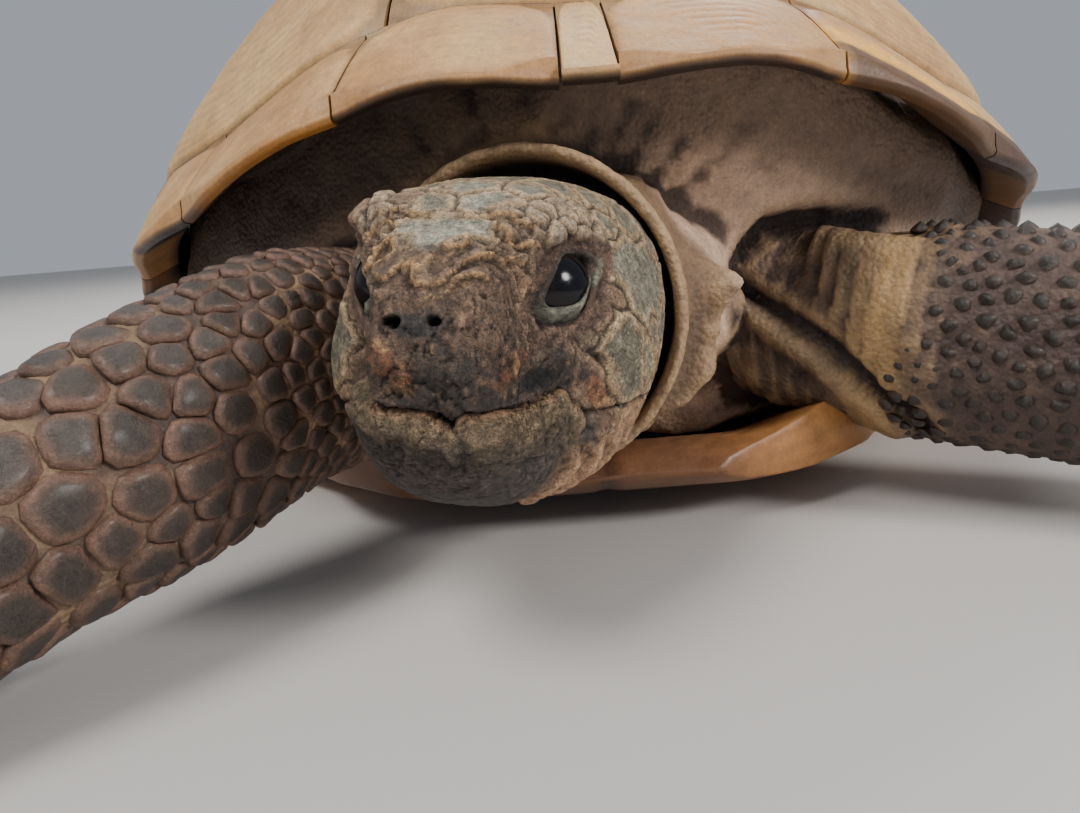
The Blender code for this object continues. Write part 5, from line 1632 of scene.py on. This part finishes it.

# %% [markdown]
# The colours are laid on in layers, from what is broadest to what is smallest. The slit round the eye, the
# crease round the lower lid, the mouth line and the nostrils get painted shade, and the throat's pleats
# painted shade and light. Last the hollows of the finished surface get painted shade and its ridges a painted
# highlight, as darker and paler copies of their colours.

# %% Colour the head
base = mixed(SNOUT_BROWN, CHEEK, ease(-16, -8, points[:, 1]))
base = base * (1 + 0.35 * fractal(points, 1.1, 3, 79))[:, None]
base = mixed(base, SNOUT_DARK, 0.75 * ease(0.0, 0.5, rough) * (1 - ease(9.5, 11.5, points[:, 2])))
plate_tone = KIND_TONES[what]
random = np.random.default_rng(8)
shifts = random.uniform(0.80, 1.12, PLATE_NUMBERS)[whose]
olive = random.uniform(0, 1, PLATE_NUMBERS)[whose]
plate_tone = np.where((what == 0)[:, None], mixed(plate_tone, SHIELD_OLIVE, 0.75 * olive), plate_tone)
plate_tone = plate_tone * (shifts * (1 + 0.22 * fractal(points, 2.2, 3, 78)))[:, None]
pale = ease(0.06, 0.2, edge) * (1 - ease(0.35, 1.15, edge + 0.55 * rough + 0.25 * fine))
plate_tone = painted(plate_tone, (CREAM * (0.9 + 0.2 * fine)[:, None], pale * KIND_CREAM[what]),
                     (GROOVE_BROWN, 0.75 * (1 - ease(0.02, 0.14, edge))))

upper_beak = (over > 0) * (1 - ease(3.6, 6.4, over + 1.5 * rough)) * front_only(points, -9.5, 2.0)
nose = blob(points, (0.3, -21.8, 7.6), (3.1, 2.2, 1.3))
rusty = np.maximum(blob(points, (-1.9, -21.6, 4.0), (2.0, 3.0, 2.6)),
                   blob(points, (7.2, -18.6, 4.0), (2.6, 2.4, 1.3)))
rusty = np.maximum(rusty, 0.75 * blob(points, (11.8, -9.4, 0.6), (2.4, 3.0, 2.2)))
black = blob(points, (8.6, -15.2, 2.5), (2.6, 3.0, 1.25))
jaw_tone = mixed(JAW_OLIVE, SNOUT_DARK, 0.8 * (1 - ease(-4.2, -0.6, over + 1.8 * rough)))
chin = (over < 0) * (1 - lower_beak) * (1 - throat) * front_only(points, -10.0, 3.0)
colour = painted(
    base,
    (plate_tone, plated),
    (FLECK_TAN, 0.5 * flecks * (outside > 2.2)),
    (SPLIT_DARK, 0.6 * split * (outside > 1.8)),
    (SNOUT_DARK, 0.80 * upper_beak * ease(-0.55, 0.1, rough)),
    (NOSE_DARK, 0.9 * ease(0.25, 0.75, nose + 0.2 * rough)),
    (mixed(RUST, PEEL, ease(0.1, 0.6, fine)), 0.6 * ease(0.30, 0.85, rusty + 0.7 * rough + 0.45 * fine)),
    (JAW_BLACK, 0.95 * ease(0.30, 0.62, black + 0.15 * rough)),
    (jaw_tone, 0.88 * lower_beak),
    (CHIN_GREY * (0.8 + 0.5 * fine)[:, None], 0.8 * chin),
    (RUST, 0.35 * lower_beak * hill(-0.3, 0.4, over)),
    (THROAT_PINK, 0.88 * throat))
# The throat's pleats are painted paler on their crests and darker in their troughs, as light and shade.
colour = colour * (1 + throat * 0.18 * pleats)[:, None]

peel_tone = mixed(SNOUT_BROWN, PEEL_BROWN, ease(-0.3, 0.5, rough + 0.6 * fine))
width, below = lower_lid_width(up, back), under_eye(up, back)
lid = ease(-0.10, 0.02, outside) * (1 - ease(width - 0.05, width + 0.12, outside))
lid_tone = mixed(LID_BROWN, LID_GREEN * (0.9 + 0.25 * rough)[:, None], below)
pits = (nostril_at(points) < 1.05) * (points[:, 1] < -17)
colour = painted(
    colour,
    (peel_tone, 0.7 * peel_here * (1 - plated * (what == 0))),
    # The ragged edges of the flakes are pale horn with a painted highlight on it.
    (PEEL * 1.15, 0.85 * peel_here * np.clip(ragged, 0, 1)),
    (MAUVE * (0.85 + 0.3 * rough)[:, None], 0.8 * (1 - ease(bare_to - 0.4, bare_to + 0.6, outside))),
    (lid_tone, 0.95 * lid),
    # The crease round the lower lid gets painted shade.
    (LID_CREASE_SHADE, hill(width + 0.16, 0.17, outside) * (0.15 + 0.85 * below)),
    (LID_GREEN * 1.15, 0.9 * ease(0.3, 0.6, behind_lid(outside, up, back))),
    (EYE_SHADOW, 1 - ease(-0.16, -0.02, outside)),
    # The slit along the mouth line gets painted shade.
    (MOUTH_SLIT_SHADE, 0.9 * (hill(0, 0.20, over) * (abs(bearing) < 2.4))),
    # The nostrils get painted shade.
    (NOSTRIL_SHADE, 1.0 * pits))
grit = (1 + 0.30 * fine) * (1 - 0.30 * ease(0.55, 0.9, coarse) * no_plates)
face_tint = colour * grit[:, None]
set_points(face, points_of(face) + normals_of(face) * (height * MM * HEAD_SCALE)[:, None])
creases = hollows(face, 8)
# The hollows get painted shade and the ridges a painted highlight, as darker and paler copies of the colour.
face_tint = mixed(face_tint, face_tint * 0.35, ease(0.01, 0.10, creases) * 0.85)
face_tint = mixed(face_tint, np.minimum(face_tint * 1.5 + 0.02, 1), ease(0.01, 0.09, -creases) * 0.45)
set_tint(face, face_tint)
shade(face)
print("darkest and palest point:", round(float(face_tint.min()), 3), round(float(face_tint.max()), 3))

# %% [markdown]
# The horn of the beak is a sheath over the jaws, thicker than the scales. Its pieces are cut from
# the finished face, so that they carry the same relief, moved out a little, and thickened inwards.

# %% Make the two beaks from the face
BEAK_THICKNESS, BEAK_OFFSET, LIP_GAP = 0.0010, -0.72, 0.22


def sheath(name, keep, node):
    """A copy of the part of the face that keep says, thickened. Only points that are to be cut may
    be selected when the mesh goes into edit mode, so all of them are let go first."""
    select_only(face)
    bpy.ops.object.duplicate()
    obj = bpy.context.object
    obj.name = name
    select_only(obj)
    doomed = ~keep(to_head(points_of(obj)))
    bpy.ops.object.mode_set(mode="EDIT")
    bpy.ops.mesh.select_mode(type="VERT")
    bpy.ops.mesh.select_all(action="DESELECT")
    bpy.ops.object.mode_set(mode="OBJECT")
    obj.data.vertices.foreach_set("select", doomed)
    bpy.ops.object.mode_set(mode="EDIT")
    bpy.ops.mesh.delete(type="VERT")
    bpy.ops.object.mode_set(mode="OBJECT")
    thick = obj.modifiers.new("thickness", "SOLIDIFY")
    thick.thickness = BEAK_THICKNESS
    thick.offset = BEAK_OFFSET
    finish_modifiers(obj)
    return dress(obj, BEAK_HORN, "horn", node)


def upper_horn(points):
    over, bearing = mouth_gap(points)
    top = 5.2 + 0.7 * fractal(points, 2.5, 3, 81) - 1.8 * ease(0.9, 1.3, abs(bearing))
    return (over > LIP_GAP) & (over < top) & (abs(bearing) < 1.32 + 0.08 * fractal(points, 1.5, 2, 82))


def lower_horn(points):
    over, bearing = mouth_gap(points)
    low = -4.6 + 0.5 * fractal(points, 2.5, 3, 83) + 1.2 * ease(0.7, 1.3, abs(bearing))
    return (over < -LIP_GAP) & (over > low) & (abs(bearing) < 1.30 + 0.08 * fractal(points, 1.5, 2, 84))


upper = sheath("beak_upper", upper_horn, "upper_beak")
lower = sheath("beak_lower", lower_horn, "lower_beak")
print("beaks:", len(upper.data.polygons), "and", len(lower.data.polygons), "faces")

# %% [markdown]
# The face is one coat piece, so its points also get a place on an unrolled map of the skin: round
# the head one way and from the nape to the snout the other.

# %% Unroll the face for baking


def unroll_face():
    local = to_head(points_of(face))
    u = (np.arctan2(local[:, 0], local[:, 2] - 4.0) / (2 * math.pi)) % 1.0
    v = np.clip((local[:, 1] + 24) / 39, 0.0, 1.0)
    corner = np.empty(len(face.data.loops), np.int32)
    face.data.loops.foreach_get("vertex_index", corner)
    loop_u = u[corner]
    starts = np.empty(len(face.data.polygons), np.int32)
    sizes = np.empty(len(face.data.polygons), np.int32)
    face.data.polygons.foreach_get("loop_start", starts)
    face.data.polygons.foreach_get("loop_total", sizes)
    anchor = np.repeat(loop_u[starts], sizes)
    loop_u = np.where(loop_u - anchor > 0.5, 0.0, np.where(anchor - loop_u > 0.5, 1.0, loop_u))
    uv = np.column_stack([0.005 + 0.99 * loop_u, 0.005 + 0.99 * v[corner]]).astype(np.float32)
    layer = face.data.uv_layers.new(name="OFBake")
    layer.data.foreach_set("uv", uv.ravel())


unroll_face()
dress(face, FACE_SCALES, "head")
print("face:", sum(len(p.vertices) - 2 for p in face.data.polygons), "triangles")

# %% [markdown]
# A tortoise's eye is dark and wet. A ball with a slightly raised cornea gives a clean highlight, and
# it is nearly black with a dark brown iris that hardly shows.

# %% Make the eyes


def eye(side, word):
    select_only()
    bpy.ops.mesh.primitive_uv_sphere_add(segments=96, ring_count=64, radius=EYE_R)
    obj = bpy.context.object
    obj.name = obj.data.name = f"eyeball_{word}"
    points = points_of(obj)
    axis = EYE_AXIS * np.array([side, 1, 1])
    angle = np.degrees(np.arccos(np.clip(points @ axis / EYE_R, -1, 1)))
    bulge = 1 + 0.035 * (1 - ease(18, 40, angle))
    iris = mixed(tone(8, 9, 14), tone(22, 17, 16), hill(31, 7, angle))
    set_tint(obj, mixed(iris, tone(20, 17, 16), ease(50, 60, angle)))
    centre = EYE_CENTRE * np.array([side, 1, 1])
    set_points(obj, from_head(points * bulge[:, None] + centre))
    faces_outwards(obj)
    return dress(shade(obj), EYE_WET, "eye", f"eye_{word}")


EYE_WET = textured_material("eye_wet", 0.8, speckle=0.1, bump_mm=0.0, roughness=0.13)
EYE_WET.node_tree.nodes["Principled BSDF"].inputs["Specular IOR Level"].default_value = 0.26
for eye_side, eye_word in ((1, "left"), (-1, "right")):
    eye(eye_side, eye_word)
print("two eyes of", EYE_R * 2.05, "mm")

# %% [markdown]
# The claws are blunt cones of dark horn, worn at their tips, that bend down to the floor. They are
# modelled as short tubes, five on a forefoot and four on a hind foot.

# %% Make the claws
CLAW_LENGTH, CLAW_RADIUS, CLAW_DROP, CLAW_HEIGHT = 0.0085, 0.0021, 0.0022, 0.0040
CLAW_ROOT, CLAW_TIP = tone(60, 50, 42), tone(150, 130, 104)


def claw(name, root, heading, seed):
    across = np.cross(heading, [0, 0, 1.0])
    found = {}

    def place(u, turn):
        bent = np.clip(u * 1.06, 0, 1)
        centre = root + heading * (CLAW_LENGTH * (bent - 0.35))[:, None]
        centre = centre - np.array([0, 0, 1.0]) * (CLAW_DROP * bent**2)[:, None]
        radius = CLAW_RADIUS * (1 - 0.72 * bent**1.6) * np.sqrt(np.clip((1.0 - u) / 0.06, 0.04, 1))
        ribs = 1 + 0.025 * np.sin(bent * 40 + seed)
        point = centre + across * (radius * ribs * 1.05 * np.cos(turn))[:, None]
        point[:, 2] += radius * ribs * np.sin(turn)
        point[:, 2] = np.maximum(point[:, 2], 0.0)
        streak = fractal(np.column_stack([turn * 2, u * 3, u * 0 + seed]), 1.0, 2, seed)
        worn = mixed(CLAW_ROOT, CLAW_TIP, ease(0.45, 1.0, u + 0.12 * streak))
        found["colour"] = worn * (1 + 0.2 * streak)[:, None]
        return point

    obj = grid_sheet(name, 28, 25, lambda u, v: place(u, 2 * math.pi * v))
    set_tint(obj, found["colour"])
    return shade(close_sheet(obj, 1e-7))


def claws_of(limb, number, spread):
    rows = np.array(LEG_STATIONS[limb], float) * MM
    toe, wrist = rows[-1, :3], rows[-2, :3]
    ahead = (toe - wrist) * np.array([1, 1, 0])
    ahead /= np.linalg.norm(ahead)
    beside = np.cross(ahead, [0, 0, 1.0])
    made = []
    for i in range(number):
        share = 2 * i / (number - 1) - 1
        turn = np.array(Matrix.Rotation(-math.radians(spread) * share, 3, "Z"))
        root = toe + beside * (share * rows[-1, 3] * 0.80) + ahead * (0.0014 * (1 - share * share) - 0.0012)
        root[2] = CLAW_HEIGHT
        made.append(claw(f"claw_{i}", root, turn @ ahead, i))
    whole = joined(f"claws_{limb}", made)
    return dress(whole, CLAW_HORN, "claw", *[f"claw_{limb}_{i + 1}" for i in range(number)])


for limb, number, spread in (("foreleg_left", 5, 24), ("foreleg_right", 5, 24), ("hindleg_left", 4, 19),
                             ("hindleg_right", 4, 19)):
    claws_of(limb, number, spread)
print("18 claws")

# %% [markdown]
# The stage is plain: a pale floor, a pale surround, and three soft lamps. The camera is close to
# the face with a wide lens, low in front of the animal and tilted a little, so the face and the
# near foreleg look large and the shell falls away behind them.

# %% Floor, light and camera
select_only()
bpy.ops.mesh.primitive_plane_add(size=6.0, location=(0, 0, 0))
floor = bpy.context.object
floor.name = "floor"
floor_finish = bpy.data.materials.new("floor_finish")
floor_finish.use_nodes = True
floor_shader = floor_finish.node_tree.nodes["Principled BSDF"]
floor_shader.inputs["Base Color"].default_value = (0.52, 0.50, 0.48, 1)
floor_shader.inputs["Roughness"].default_value = 0.85
floor.data.materials.append(floor_finish)


def soft_lamp(name, place, aim, size, watts, colour=(1, 1, 1)):
    data = bpy.data.lights.new(name, "AREA")
    data.shape = "DISK"
    data.size = size
    data.energy = watts
    data.color = colour
    lamp = bpy.data.objects.new(name, data)
    bpy.context.scene.collection.objects.link(lamp)
    lamp.location = place
    lamp.rotation_euler = (Vector(aim) - Vector(place)).to_track_quat("-Z", "Y").to_euler()


soft_lamp("key_lamp", (-0.40, -0.40, 0.85), (0, -0.08, 0.03), 0.45, 7.5, (1.0, 0.97, 0.93))
soft_lamp("fill_lamp", (0.72, -0.58, 0.52), (0.02, -0.08, 0.04), 0.24, 8.5, (1.0, 0.97, 0.94))
soft_lamp("back_lamp", (0.25, 0.8, 0.9), (0, 0.0, 0.06), 0.6, 10.5, (1.0, 0.97, 0.92))
world = bpy.data.worlds.new("pale_surround")
bpy.context.scene.world = world
world.use_nodes = True
surround = world.node_tree.nodes["Background"]
surround.inputs["Color"].default_value = (0.80, 0.86, 0.95, 1)
surround.inputs["Strength"].default_value = 0.45

camera_data = bpy.data.cameras.new("camera")
camera_data.lens = 26.0
camera_data.sensor_width = 36.0
camera_data.clip_start = 0.005
camera = bpy.data.objects.new("camera", camera_data)
bpy.context.scene.collection.objects.link(camera)
yaw, pitch, roll = math.radians(0.67), math.radians(90 - 13.3), math.radians(-4.7)
camera.matrix_world = (Matrix.Translation((-0.00695, -0.1903, 0.0413)) @ Matrix.Rotation(yaw, 4, "Z")
                       @ Matrix.Rotation(pitch, 4, "X") @ Matrix.Rotation(roll, 4, "Z"))
bpy.context.scene.camera = camera
print(len(bpy.data.lights), "lamps, and a lens of", camera_data.lens, "mm")
